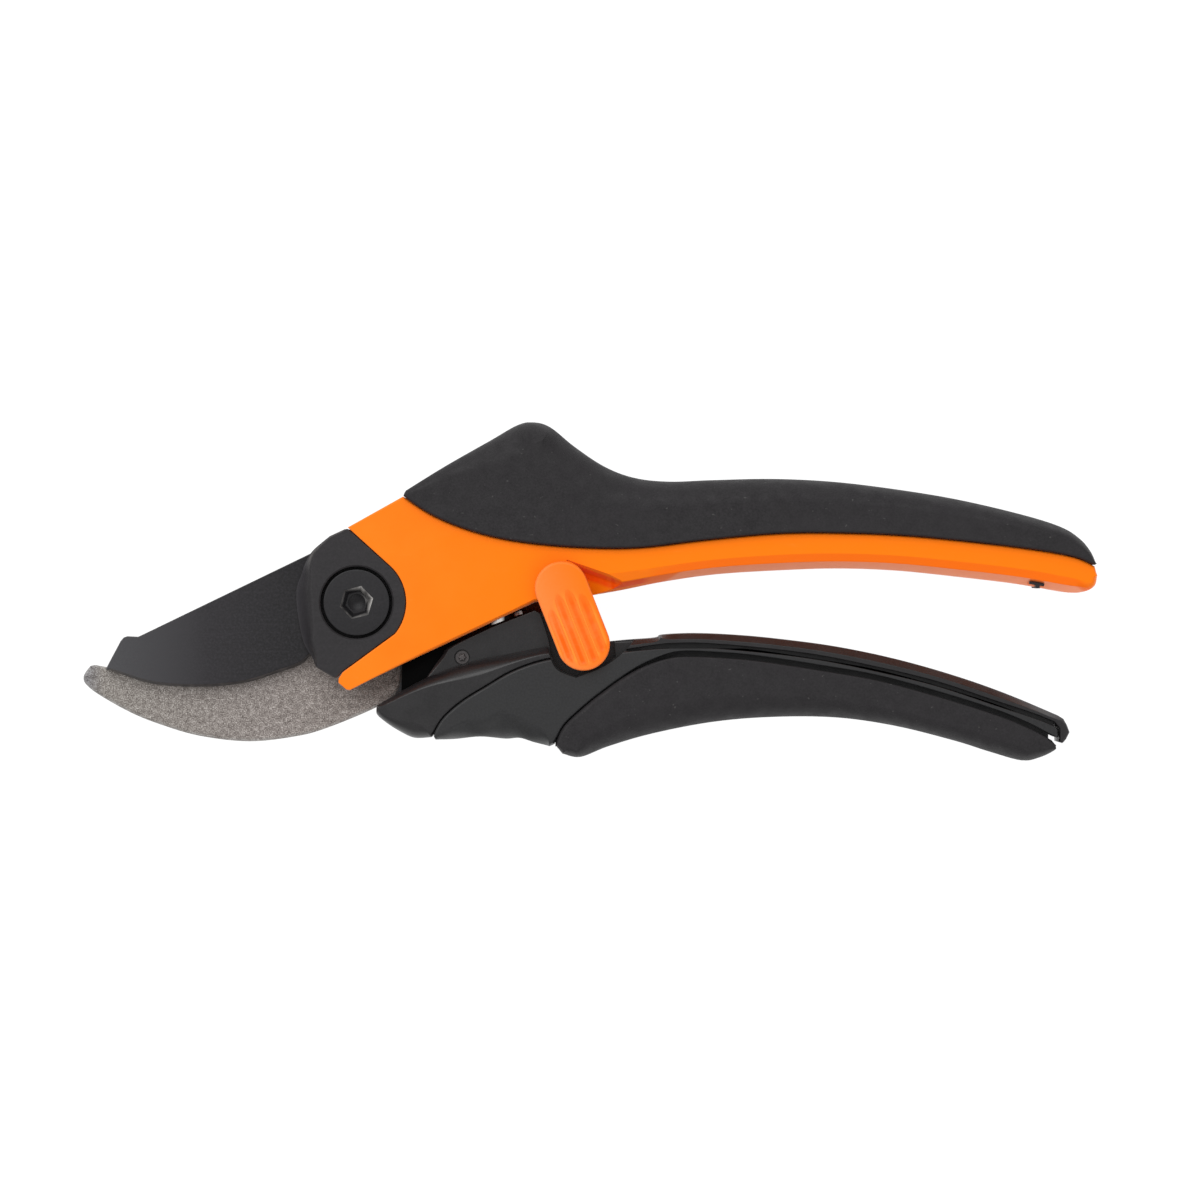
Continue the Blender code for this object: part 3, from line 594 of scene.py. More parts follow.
# Painted shadow inside the slot that holds the spring
SLOT_SHADOW_TONE = (0.09, 0.008, 0.001)
# Painted light on the catch's side towards the blades
CATCH_LIT_SIDE_TONE = (0.92, 0.232, 0.05)
# A painted highlight on the catch's crests between the flutes
CREST_HIGHLIGHT_TONE = (0.94, 0.262, 0.03)
# Painted shade deep in the catch's flutes
GROOVE_SHADE_TONE = (0.90, 0.115, 0.002)


def orange_material(name, base, deep, pale, change):
    """Satin moulded nylon: a fine moulded texture, soft mottling, faint handling marks and edges a little
    paler, partly from scuffing and partly as a painted highlight on the catch's rim. Its colours are in
    linear light. change is a function that adds what only one piece has to the mottled colour, among it
    painted light and shade."""
    n = Nodes(name)
    mottle = n.mix(n.ramp(n.noise(13, 4), [(0.35, 0.0), (0.65, 1.0)]), base, deep)
    body = change(n, mottle)
    scuffs = n.ramp(n.noise(5, 6, 0.7, n.stretched((1.0, 4.0, 1.0))), [(0.62, 0.0), (0.76, 0.22)])
    speckle = n.ramp(n.noise(0.5, 3, 0.6), [(0.36, 0.0), (0.7, 0.16)])
    marked = n.mix(speckle, n.mix(scuffs, body, pale), deep)
    n.set(Base_Color=n.mix(n.edge_wear_and_highlight(0.30), marked, pale))
    n.set(Roughness=n.ramp(n.noise(3, 5), [(0.3, 0.34), (0.7, 0.44)]), Specular_IOR_Level=0.12)
    n.set(Sheen_Weight=0.16, Sheen_Roughness=0.35)
    n.bump([(n.noise(0.24, 2), 0.02, 0.35), (n.noise(9, 2), 0.08, 0.1)])
    return n.mat


def handle_tones(n, body):
    """Purer orange along the handle, painted shade in the pocket beside the catch and on the deeper upper
    facet, a painted pale reflection on the lower facet along the inner edge, and painted shadow inside the
    slot that holds the spring."""
    body = n.mix(n.along_x(10, 34), body, HANDLE_TONE)
    # Painted shade on the floor and walls of the pocket beside the catch
    pocket = n.times(n.along_z(CHEEK_HALF - 0.9, CHEEK_HALF - 1.2),
                     n.along_z(POCKET_FLOOR - 0.7, POCKET_FLOOR - 0.4),
                     n.along_x(37, 38), n.along_x(64, 58))
    body = n.mix(pocket, body, POCKET_SHADE_TONE)
    fall = n.times(n.attribute("fall"), n.along_x(57, 66))
    # Painted shade: the upper facet along the inner edge is made deeper, as if turned from the light
    upper_facet_shade = n.ramp(fall, [(0.05, 0.0), (0.2, 0.9), (0.5, 0.9), (0.57, 0.0)])
    body = n.mix(upper_facet_shade, body, UPPER_FACET_SHADE_TONE)
    # A painted reflection of the bright floor on the lower facet, kept off the slot's inner walls
    height = n.calc("ABSOLUTE", n.calc("MULTIPLY_ADD", n.along_z(-20, 20), 40, -20))
    off_wall = n.ramp(n.calc("SUBTRACT", height, CHEEK_HALF - 5.4), RISING)
    lower_facet_reflection = n.times(n.ramp(fall, [(0.5, 0.0), (0.58, 0.8)]), off_wall)
    body = n.mix(lower_facet_reflection, body, LOWER_FACET_REFLECTION_TONE)
    # Painted shadow inside the slot that holds the spring
    in_slot = n.times(n.along_z(-5.5, -5.25), n.along_z(5.1, 4.9), n.along_x(12, 13),
                      n.along_x(41.5, 40.5))
    return n.mix(in_slot, body, SLOT_SHADOW_TONE)


def catch_tones(n, body):
    """Paler on the side towards the blades, which is painted light, deeper in the flutes, which is painted
    shade, and paler between them, which is a painted highlight.
    """
    span = 20.0
    turn_per_mm = 2 * math.pi / FLUTE_PITCH
    side = (-math.sin(CATCH_TILT), math.cos(CATCH_TILT), 0)
    down = (math.cos(CATCH_TILT), math.sin(CATCH_TILT), 0)
    middle = CATCH_X * side[0] + CATCH_Y * side[1]
    start = CATCH_X * down[0] + CATCH_Y * down[1]
    across = n.calc("MULTIPLY_ADD", n.along(side, middle - span, middle + span), 2 * span, -span)
    along = n.times(n.along(down, start, start + span), span)
    square = n.times(across, across)
    near = n.calc("MULTIPLY_ADD", square, FLUTE_BOW, FLUTE_START)
    far = n.calc("MULTIPLY_ADD", square, -0.13, CATCH_REACH + FLUTE_END_R)
    begun = n.calc("DIVIDE", n.calc("SUBTRACT", along, near), 3.4)
    ended = n.calc("SUBTRACT", far, along)
    fluted = n.times(n.ramp(begun, RISING), n.ramp(ended, RISING),
                     n.along_z(CATCH_HIGH - 1.6, CATCH_HIGH - 1.2))
    wave = n.calc("COSINE", n.calc("MULTIPLY_ADD", across, turn_per_mm, -turn_per_mm * FLUTES[2]))
    # Painted light: the catch is paler on its side towards the blades
    body = n.mix(n.ramp(n.along(side, middle - 4.5, middle + 4.5), [(0.0, 0.85), (0.5, 0.35), (1.0, 0.0)]),
                 body, CATCH_LIT_SIDE_TONE)
    # A painted highlight on the crests between the flutes, and painted shade in the flutes' bottoms
    crest_highlight = n.times(fluted, n.ramp(n.times(wave, -1.0), [(0.0, 0.0), (1.0, 0.8)]))
    groove_shade = n.times(fluted, n.ramp(wave, [(0.0, 0.0), (0.8, 1.0)]))
    return n.mix(groove_shade, n.mix(crest_highlight, body, CREST_HIGHLIGHT_TONE), GROOVE_SHADE_TONE)


def rubber_material(name, base, grain):
    """Matt thermoplastic rubber with a spark-eroded grain and a dusting of pale specks."""
    n = Nodes(name)
    fine = n.noise(grain, 3, 0.6)
    grained = n.mix(n.ramp(fine, [(0.3, 0.0), (0.7, 1.0)]), shade(base, 0.68), shade(base, 1.3))
    broad = n.mix(n.ramp(n.noise(22, 3), [(0.35, 0.0), (0.7, 0.5)]), grained, shade(base, 1.15))
    specks = n.ramp(n.noise(0.8, 1), [(0.74, 0.0), (0.8, 0.3)])
    n.set(Base_Color=n.mix(specks, broad, linear(96, 95, 93)))
    n.set(Roughness=n.ramp(n.noise(2.5, 4), [(0.3, 0.58), (0.7, 0.74)]), Specular_IOR_Level=0.3)
    n.bump([(fine, 0.05, 0.5), (n.noise(1.3, 3), 0.05, 0.25)])
    return n.mat


def shell_material(name, base, roughness, grain=0.3):
    """Black moulded nylon, satin, with faint flow marks, a fine grain and paler edges, partly scuffed and
    partly a painted highlight.
    """
    n = Nodes(name)
    flow = n.noise(9, 5, 0.6, n.stretched((0.5, 1.4, 1.0)))
    body = n.mix(n.ramp(flow, SPREAD), shade(base, 0.9), shade(base, 1.14))
    fine = n.noise(grain, 3, 0.6)
    grained = n.mix(n.ramp(fine, [(0.35, 0.0), (0.68, 0.9)]), body, shade(base, 1.5))
    n.set(Base_Color=n.mix(n.edge_wear_and_highlight(0.5), grained, shade(base, 1.9)))
    n.set(Roughness=n.ramp(n.noise(4, 5), [(0.3, roughness - 0.06), (0.7, roughness + 0.08)]))
    n.set(Specular_IOR_Level=0.4)
    n.bump([(fine, 0.015, 0.35), (n.noise(6, 3), 0.06, 0.2)])
    return n.mat


def coated_material(name, base, level, tip=None, root=None, painted_slope_light=None, edge_rub_and_highlight=(0.4, (104, 98, 94))):
    """Steel under a thin black low-friction coating, with fine drawn scratches and paler edges, partly
    scuffed and partly a painted highlight. tip and root are the coating's tones at the blade's two ends,
    root being painted shade that darkens the blade towards the raised cover, and the next tone is painted
    light down the cover's left side, which cancels the shade of that incline.
    The last argument is how far the edges are paled and their tone, which on the bolt is a painted
    highlight."""
    n = Nodes(name)
    scratches = n.noise(1.2, 6, 0.75, n.stretched((0.12, 2.2, 1.0)))
    cloud = n.ramp(n.noise(12, 5), SPREAD)
    body = n.mix(cloud, shade(base, 0.95), shade(base, 1.07))
    if tip:
        body = n.mix(n.along_x(-30, -50), body, linear(*tip))
    if root:
        # Painted shade: the blade darker towards the raised cover
        body = n.mix(n.along_x(-34, -14), body, linear(*root))
    if painted_slope_light:
        # Painted light down the cover's left side, which lightens the incline against its own shade
        top = high_of("pivot_cover_front")
        fallen = n.times(n.along_z(top - 0.3, top - 2.6), n.along((0, 0, -1), top - 0.3, top - 2.6),
                         n.along_x(-7.4, -8.2))
        body = n.mix(fallen, body, linear(*painted_slope_light))
    lined = n.mix(n.ramp(scratches, [(0.5, 0.0), (0.8, 0.3)]), body, shade(base, 1.6))
    grain = n.ramp(n.noise(0.5, 4, 0.7), [(0.42, 0.0), (0.72, 0.5)])
    lined = n.mix(grain, lined, shade(base, 1.5))
    n.set(Base_Color=n.mix(n.edge_wear_and_highlight(edge_rub_and_highlight[0]), lined, linear(*edge_rub_and_highlight[1])))
    n.set(Roughness=n.ramp(scratches, [(0.3, 0.42), (0.75, 0.56)]), Metallic=0.12)
    n.set(Specular_IOR_Level=level)
    n.bump([(scratches, 0.008, 0.2), (n.noise(0.3, 2), 0.01, 0.15)])
    return n.mat


def blasted_material(name):
    """Grit-blasted hardened steel: dense grey specks, each a small pit, warmer towards its root."""
    n = Nodes(name)
    grain = n.noise(0.26, 4, 0.72)
    coarse = n.noise(1.0, 3, 0.6)
    both = n.mix(0.25, grain, coarse)
    colour = n.ramp(both, [(0.36, linear(72, 65, 62)), (0.46, linear(114, 107, 103)),
                           (0.54, linear(148, 142, 138)), (0.66, linear(202, 198, 194))])
    tint = n.ramp(n.along_x(8, -56), [(0.0, linear(250, 246, 243)), (0.4, linear(252, 249, 248)),
                                      (0.93, linear(254, 255, 252)), (1.0, linear(214, 222, 236))])
    tinted = n.mix(1.0, colour, tint, "MULTIPLY")
    n.set(Base_Color=n.mix(n.edge_wear_and_highlight(0.5), tinted, linear(176, 174, 172)))
    n.set(Roughness=n.ramp(grain, [(0.35, 0.72), (0.65, 0.46)]), Metallic=0.35)
    n.bump([(grain, 0.06, 0.6)])
    return n.mat


def steel_material(name, base, roughness):
    """Bare metal with fine brushed lines."""
    n = Nodes(name)
    lines = n.noise(0.5, 5, 0.7, n.stretched((0.3, 2.5, 1.0)))
    n.set(Base_Color=n.mix(n.ramp(lines, SPREAD), shade(base, 0.88), linear(*base)))
    n.set(Roughness=n.ramp(lines, [(0.3, roughness), (0.7, roughness + 0.14)]), Metallic=1.0)
    n.bump([(lines, 0.008, 0.3)])
    return n.mat


def seat_material(name):
    """A spring seat kept near black as painted shade in the gap by the spring, with two painted glints
    where the spring's ends turn.
    """
    n = Nodes(name)
    lines = n.noise(0.5, 5, 0.7)
    glint_tone = n.mix(n.ramp(lines, SPREAD), linear(236, 234, 230), linear(252, 251, 249))
    # Two painted glints on a near-black seat that stands for shade
    painted_highlight = n.ramp(n.along_x(26, 34), [(0.14, 0.0), (0.26, 1.0), (0.40, 1.0), (0.49, 0.0), (0.73, 0.0),
                                        (0.78, 1.0), (0.95, 1.0), (0.98, 0.0)])
    n.set(Base_Color=n.mix(painted_highlight, linear(22, 18, 18), glint_tone))
    n.set(Roughness=n.ramp(lines, [(0.3, 0.16), (0.7, 0.26)]), Metallic=1.0)
    n.bump([(lines, 0.008, 0.2)])
    return n.mat


ORANGE = orange_material("orange_nylon", (0.92, 0.198, 0.007), (0.90, 0.178, 0.004),
                         (0.95, 0.25, 0.03), handle_tones)
CATCH_ORANGE = orange_material("catch_nylon", (0.93, 0.171, 0.006), (0.91, 0.158, 0.004),
                               (0.95, 0.26, 0.07), catch_tones)
RUBBER = rubber_material("grip_rubber", (28, 26, 28), 0.38)
SHELL = shell_material("core_nylon", (23, 22, 23), 0.34)
SLEEVE = shell_material("sleeve_moulding", (22, 22, 23), 0.5, 0.4)
# The last tone darkens the blade towards the cover: painted shade
COATED = coated_material("coated_blade", (35, 33, 36), 0.32, (66, 66, 68), (15, 14, 16))
# Painted shade: the tang in the deep gap beside the lower handle, near black and almost without gloss
TANG_SHADE = coated_material("tang_painted_shade", (6, 6, 6), 0.03)
# The cover's last tone is painted light down its left side
COVER = coated_material("cover_coating", (31, 29, 31), 0.36, painted_slope_light=(50, 48, 51))
# The bolt's edges take a near-white tone: a painted highlight
OXIDE = coated_material("oxide_bolt", (27, 26, 28), 0.30, edge_rub_and_highlight=(1.0, (205, 202, 198)))
BLASTED = blasted_material("blasted_hook")
BRIGHT = steel_material("spring_steel", (205, 203, 200), 0.22)
DARK_STEEL = steel_material("rivet_steel", (92, 88, 88), 0.35)
BRONZE = steel_material("bush_bronze", (176, 133, 84), 0.35)
ACETAL = shell_material("seat_acetal", (150, 147, 140), 0.5)
SEAT = seat_material("seat_painted_glints")


# ---------------------------------------- upper handle

def slot_outline():
    pocket = [about_spring(4.9, -2), about_spring(4.9, SPRING_ROOM), about_spring(-4.9, SPRING_ROOM)]
    return pocket + [(19.5, 3.6)] + arc(SLOT_ROOT_R, 16, 112, 30) + [(-25, 13), (-25, -35), (36, -35)]


def hook_boss_outline():
    return ([(1.2, -14.6)] + arc(HOOK_BOSS_R, -37, 12, 20) + [(13.6, 4.2)]
            + arc(COVER_ARC_R + 0.8, 16, -44, 20))


def pocket_height(x, y):
    """How high the facet beside the catch lies: it falls quickly from its upper line to a floor
    that the catch's stud clears, and fades out towards the handle's end."""
    wall_width, floor_slope, end, run_out, slant, clear = 1.35, 0.45, 56.6, 4.8, 0.94, 0.02
    line = np.interp(x, *zip(*POCKET_LINE))
    below = (line - y) * slant
    fade = min(max((end - x) / run_out, 0.0), 1.0)
    fall = (CHEEK_HALF - POCKET_FLOOR + clear) * min(max(below, 0.0) / wall_width, 1.0)
    fall += floor_slope * max(below - wall_width, 0.0)
    return CHEEK_HALF + clear - fall * fade + 2 * max(-below, 0.0)


def stud_pocket():
    rows = []
    for i in range(41):
        ring = arc(5.3 + i * 0.3, -100, 78, 100, (CATCH_X, CATCH_Y))
        rows.append([(x, y, pocket_height(x, y)) for x, y in ring])
    return height_field("stud_pocket", rows, CHEEK_HALF + 14)


def end_slot_outline(left, right):
    """The small T near the handle's end. left and right are how low its stem's corners lie."""
    return [(136.0, 3.75), (137.2, 3.55), (137.2, left), (138.1, right), (138.1, 3.4), (138.9, 3.25),
            (139.0, 3.75), (136.0, 4.2)]


def back_lip_outline():
    inside = [(16.0, -8.6), (22, -5.8), (30, -2.2), (35.5, 0.5), (41, 1.6)]
    return inside + [(41, -2.0), (36.6, -2.6), (33, -3.4), (27, -6.0), (20, -9.3), (16.5, -10.7)]


def body_shell():
    """The orange body, whose inner edge has two facets along the handle."""
    tail = [(9.6, -12.3), (3.0, -15.5), (-1.3, -17.7), (-2.0, -17.6), (-3.6, -16.2), (-3.6, -15.4)]
    outline = (rim(cover_side(0.16)[::-1], 0.3, 0.3) + rim(UPPER_SEAM, 0.45, 0.5)
               + rim(HANDLE_EDGE[:13], 1.8, 2.2)
               + ramp(HANDLE_EDGE[13:], 42, 48, (0.7, 4.3, ROUND), (3.95, 4.6, FACETED))
               + rim(tail[:1], 0.6, 0.6) + rim(tail[1:], 0.25, 0.35))
    body = moulding("body_shell", outline, -CHEEK_HALF, CHEEK_HALF)
    boolean(body, tongue(UPPER_SEAM[1:-8], 1.4), "UNION")
    boolean(body, prism("slot", slot_outline(), -SLOT_HALF, SLOT_HALF))
    boolean(body, prism("boss", hook_boss_outline(), -SLOT_HALF - 0.4, HOOK_LOW - 0.3), "UNION")
    boolean(body, prism("back_lip", back_lip_outline(), BACK_LIP_LOW, BACK_LIP_HIGH), "UNION")
    boolean(body, stud_pocket())
    boolean(body, prism("end_slot", end_slot_outline(1.5, 1.5), -THROUGH, THROUGH))
    finish_piece(body, ORANGE, "upper_handle", "upper_handle_body")


def palm_grip():
    """The rubber on the upper handle, whose rim is wide and round along the palm's side."""
    outline = ramp(UPPER_BACK, 10, 34, (1.4, 1.8, ROUND), (6.2, 6.8, ROUND))
    outline += rim(shifted(UPPER_SEAM, SEAM_GAP), 0.5, 0.6)
    grip = moulding("palm_grip", outline, -GRIP_HALF, GRIP_HALF)
    finish_piece(grip, RUBBER, "upper_handle", "upper_grip")


def slot_shade_filler():
    """Rubber that shows through the small slot near the handle's end: a dark piece put in as painted
    shade, for the shade of a deep hole.
    """
    outline = rim(end_slot_outline(2.95, 2.85), 0.08, 0.2)
    key = moulding("slot_shade_filler", outline, -CHEEK_HALF + 1.4, CHEEK_HALF - 1.4)
    finish_piece(key, RUBBER, "upper_handle")


def pivot_hole():
    """A cutter for a blade's hole, round the bush."""
    sides = 48
    ring = arc(BLADE_HOLE_R, 0, 360, sides)[:-1]
    return prism("hole", ring, -THROUGH, THROUGH)


def hook():
    """The counter blade, blasted grey."""
    under = smooth([(-54.3, -12.9), (-55.3, -14.2), (-55.7, -15.3), (-55.2, -16.6), (-52.6, -18.7),
                    (-46.2, -22.3), (-40, -24.8), (-32, -27.1), (-22, -28.2), (-12.7, -27.2),
                    (-6.6, -25.6), (2.5, -21.9), (7.2, -19.2), (8.8, -16.8), (9.2, -13.4), (9.6, -11.8)])
    tang = [(15.6, -6.4), (18.5, -1.5), (18.0, 3.0), (13.2, 3.0)]
    mouth = smooth([(-12.6, -8.4), (-17, -11.2), (-24, -13.4), (-33, -14.5), (-42, -14.3),
                    (-49.5, -13.4), (-53.5, -12.7)])
    outline = (rim(under, 0.75, 0.7) + rim(tang + arc(HOOK_ROOT_R, 15, 205, 60), 0.25, 0.25)
               + rim(mouth, 0.3, 0.3))
    blade = moulding("hook", outline, HOOK_LOW, HOOK_HIGH)
    boolean(blade, pivot_hole())
    finish_piece(blade, BLASTED, "upper_handle", "counter_blade")


def pivot_cover(name, node):
    """A plate round the bolt's head, whose left side falls softly to the blade. It is made face up
    and turned over for the back."""
    low, high = low_of(node), high_of(node)
    turned = high < 0
    if turned:
        low, high = -high, -low
    depth = high - low - 0.1
    left = [(-8.2, -13.0, 0.5), (-8.9, -11.2, 1.0), (-10.8, -8.0, 2.6), (-12.0, -2.5, 3.6),
            (-12.3, 2.3, 3.6), (-11.3, 5.6, 2.6), (-10.1, 8.6, 1.3), (-8.6, 10.7, 0.6), (-5.4, 13.4, 0.4)]
    outline = rim(cover_side(0.06), 0.3, 0.3) + rim([(-4.2, -15.4), (-6.8, -13.9)], 0.3, 0.5)
    for x, y, width in smooth(left):
        outline += rim([(x, y)], width, min(depth, width * 1.3), SOFT)
    cover = moulding(name, outline, low, high, mirrored=False)
    profile = [(0, low - 1), (COVER_HOLE_R, low - 1), (COVER_HOLE_R, high - 0.3),
               (COVER_HOLE_R + 0.3, high), (COVER_HOLE_R + 0.3, high + 1), (0, high + 1)]
    boolean(cover, lathe("hole", profile))
    if turned:
        cover.data.transform(Matrix.Scale(-1, 4, (0, 0, 1)))
        cover.data.flip_normals()
    finish_piece(cover, COVER, "upper_handle", node)


def bolt():
    """The bolt, with a painted highlight round its hex socket's mouth, strongest on one side."""
    top, socket_low = BOLT_HIGH, BOLT_HIGH - 2.0
    profile = [(0, top), (BOLT_HEAD_R - 0.3, top), (BOLT_HEAD_R - 0.08, top - 0.1),
               (BOLT_HEAD_R, top - 0.4), (BOLT_HEAD_R, BOLT_HEAD_LOW), (BOLT_R, BOLT_HEAD_LOW),
               (BOLT_R, BOLT_LOW + 0.5), (BOLT_R - 0.5, BOLT_LOW), (0, BOLT_LOW)]
    head = lathe("pivot_bolt_body", profile)
    hexagon = [(0, socket_low), (SOCKET_R - 0.9, socket_low), (SOCKET_R - 0.1, top - 0.45),
               (SOCKET_R, top - 0.2), (SOCKET_R + 0.2, top - 0.04), (SOCKET_R + 0.25, top),
               (SOCKET_R + 0.25, top + 0.3), (0, top + 0.3)]
    socket = lathe("socket", hexagon, 6)
    socket.data.transform(Matrix.Rotation(SOCKET_TURN, 4, "Z"))
    boolean(head, socket)
    drill = [(0, top - 3.6), (DRILL_R, top - 2.35), (DRILL_R, socket_low), (0, socket_low)]
    boolean(head, lathe("drill", drill))
    # A painted highlight round the socket's mouth, strongest on one side
    painted_highlight = head.data.attributes.new("edge", "FLOAT", "POINT")
    for vert, value in zip(head.data.vertices, painted_highlight.data):
        x, y, z = vert.co / MM
        turn = math.cos(math.atan2(y, x) - HIGHLIGHT_SIDE)
        if math.hypot(x, y) < SOCKET_R + 0.22 and top - 0.5 < z < top - 0.02:
            value.value = 0.42 + 0.5 * turn if turn > 0 else 0.4 + 0.2 * max(0.0, -turn - 0.6)
        elif math.hypot(x, y) < SOCKET_R and abs(z - socket_low) < 0.1 and turn > 0.3:
            value.value = 0.45 * turn
    finish_piece(head, OXIDE, "upper_handle", "pivot_bolt")


# ---------------------------------------- lower handle

def core_plate():
    """The thin plate by the spring, with a chamfer that widens up its left edge."""
    top = [(18.9, -8.85), (27.5, -4.8), (31.7, -3.2), (36, -1.5), (40, -3.5), (46, -6.3), (51.2, -8.0),
           (54.3, -7.8)]
    rib = [(60, -7.6), (60, -12.0), (47, -20), (24, -20.0), (16.5, -19), (14.3, -16.2)]
    left = rim([(14.1, -15.2)], 0.15, 0.2) + rim([(18.1, -9.2)], 1.2, 0.9, CHAMFER)
    outline = rim(top + rib, 0.3, 0.3) + left
    return moulding("plate", outline, -PLATE_HALF, PLATE_HALF)


def hook_sweep_outline():
    reach = [(-30, 20.8), (-42, 21.7), (-50, 22.6), (-57, 23.9), (-64, 25.5), (-70, 27.1), (-76, 29.0)]
    curve = smooth([(r * math.cos(math.radians(a)), r * math.sin(math.radians(a))) for a, r in reach])
    return curve + [(-5, -30), (-5, -10), (14, -8)]


def blade_tang():
    return [(16.5, -5.8), (20, -7.9), (26, -8.9), (32.2, -9.6), (33.4, -11.5), (33.4, -18.0),
            (31.8, -19.4), (13.0, -19.6), (8.6, -19.6), (7.6, -18.7), (8.3, -17.3), (8.9, -15.4),
            (9.1, -11.5)]


def catch_recess_outline():
    left = smooth([(34.5, 3.0), (36.2, -1.3), (38.3, -7.1), (39.1, -11.0), (40.7, -13.7),
                   (44.4, -15.2)])
    return left + arc(CATCH_SWEEP_R, -68, -38, 30, (CATCH_X, CATCH_Y)) + [(59.0, -3.0), (59.0, 3.0)]


def catch_well_outline():
    left = smooth([(36.0, 1.0), (36.7, -1.3), (38.6, -7.1), (39.4, -11.0), (40.9, -13.5), (44.4, -14.9)])
    return left + arc(CATCH_SWEEP_R - 0.3, -68, -52, 12, (CATCH_X, CATCH_Y)) + [(51.4, 1.0)]


def core_shell():
    """The lower handle's core, with the ledge by the plate and the open notch for the catch."""
    end = [(142.8, -23.5), (143.5, -24.8), (144.0, -26.2), (143.3, -27.6), (142.5, -28.6), (141.9, -28.2),
           (141.9, -25.5)]
    front = smooth([(15.2, -27.2), (11.7, -27.4), (8.6, -26.0), (5.6, -24.0), (4.0, -22.4), (4.1, -20.8)])
    seam = shifted(LOWER_SEAM, 0.75, 52, 62)
    outline = (ramp(LEDGE_TOP[:-4], 5, 24, (0.9, 2.4, LEDGE), (3.2, 3.4, LEDGE))
               + ramp(LEDGE_TOP[-4:], 36, 39, (3.2, 3.4, LEDGE), (1.9, 2.0, CHAMFER))
               + rim(LOWER_TOP, 1.9, 2.0, CHAMFER) + rim(end, 0.5, 0.7)
               + ramp(seam, 52, 60, (0.5, 0.5, ROUND), (0.25, 0.5, ROUND))
               + ramp(front[3:], 12.5, 5.0, (3.8, 4.4, ROUND), (1.1, 2.6, ROUND)))
    core = moulding("core_shell", outline, -CORE_HALF, CORE_HALF, reach=1.25)
    boolean(core, tongue(seam[:-4], -1.6), "UNION")
    boolean(core, prism("recess", catch_recess_outline(), PLATE_HALF - 0.05, THROUGH))
    boolean(core, core_plate(), "UNION")
    boolean(core, prism("well", catch_well_outline(), WELL_FLOOR, THROUGH))
    boolean(core, prism("sweep", hook_sweep_outline(), -HOOK_SWEEP_HALF, HOOK_SWEEP_HALF))
    tang = [(12.0, -2.0)] + blade_tang()[:-4] + [(7.0, -19.6), (7.0, -10)]
    boolean(core, prism("tang_room", tang, BLADE_LOW - 0.3, BLADE_HIGH + 0.3))
    well = [(0, 3.6), (1.6, 3.6), (1.6, PLATE_HALF - 0.1), (1.8, PLATE_HALF + 1), (0, PLATE_HALF + 1)]
    boolean(core, lathe("rivet_well", well, 48, RIVET))
    finish_piece(core, SHELL, "lower_handle", "lower_handle_core")


def sleeve_band():
    """The smooth sleeve, whose rim widens in the hollows between its finger waves."""
    seam = shifted(LOWER_SEAM[:-1], -SEAM_GAP) + [(15.5, -27.2)]
    low_seam = shifted(GRIP_SEAM, 0.95, 54, 64)
    outline = []
    for x, y in FINGER_WAVES:
        ridge = 0.5 - 0.5 * math.cos(2 * math.pi * (x - 20.2) / 9.5)
        outline += rim([(x, y)], 8.2 - 5.2 * ridge, 6.4 - 3.8 * ridge)
    outline += (ramp(low_seam, 56, 62, (0.6, 0.7, ROUND), (0.2, 0.4, ROUND))
               + rim([(141.5, -27.3), (141.5, -25.6)], 0.4, 0.5)
               + ramp(seam, 52, 60, (0.5, 0.6, ROUND), (0.2, 0.4, ROUND)))
    sleeve = moulding("sleeve_band", outline, -SLEEVE_HALF, SLEEVE_HALF, reach=1.1)
    boolean(sleeve, tongue(low_seam[1:-1], -1.9), "UNION")
    boolean(sleeve, prism("recess", catch_recess_outline(), PLATE_HALF - 0.15, THROUGH))
    boolean(sleeve, prism("well", catch_well_outline(), WELL_FLOOR - 0.1, THROUGH))
    finish_piece(sleeve, SLEEVE, "lower_handle", "lower_handle_sleeve")


def finger_grip():
    """The rubber on the lower handle."""
    seam = [(x + 0.1, y - 0.1) for x, y in GRIP_SEAM]
    outline = rim(GRIP_UNDERSIDE, 5.4, 6.4) + ramp(seam, 56, 62, (0.9, 0.9, ROUND), (0.35, 0.5, ROUND))
    grip = moulding("finger_grip", outline, -GRIP_HALF, GRIP_HALF)
    finish_piece(grip, RUBBER, "lower_handle", "lower_grip")


def blade():
    """The cutting blade, whose tang, where it shows in the deep gap beside the lower handle, is near black
    with almost no gloss: painted shade.
    """
    point = [(-51.0, -13.6), (-47.9, -7.8), (-47.3, -7.1), (-46.6, -6.85), (-44.4, -6.95), (-43.3, -6.45)]
    root = arc(BLADE_ROOT_R, 116.3, -2, 50)
    belly = arc(BLADE_ROOT_R, -50, -132, 30)
    ground = rim(CUTTING_EDGE[2:-1], 0.6, BLADE_HIGH - BLADE_LOW - 0.5, CHAMFER)
    outline = rim(point + root + blade_tang() + belly, 0.18, 0.18) + ground
    body = moulding("blade", outline, BLADE_LOW, BLADE_HIGH, mirrored=False)
    boolean(body, pivot_hole())
    bm = bmesh.new()
    bm.from_mesh(body.data)
    everything = bm.verts[:] + bm.edges[:] + bm.faces[:]
    bmesh.ops.bisect_plane(bm, geom=everything, plane_co=(TANG_SHADE_LEFT * MM, 0, 0), plane_no=(1, 0, 0))
    bm.to_mesh(body.data)
    bm.free()
    finish_piece(body, COATED, "lower_handle", "cutting_blade", 20)
    body.data.materials.append(TANG_SHADE)
    for polygon in body.data.polygons:
        middle = polygon.center - PIVOT
        if middle.x > TANG_SHADE_LEFT * MM and middle.y < TANG_SHADE_TOP * MM:
            polygon.material_index = 1


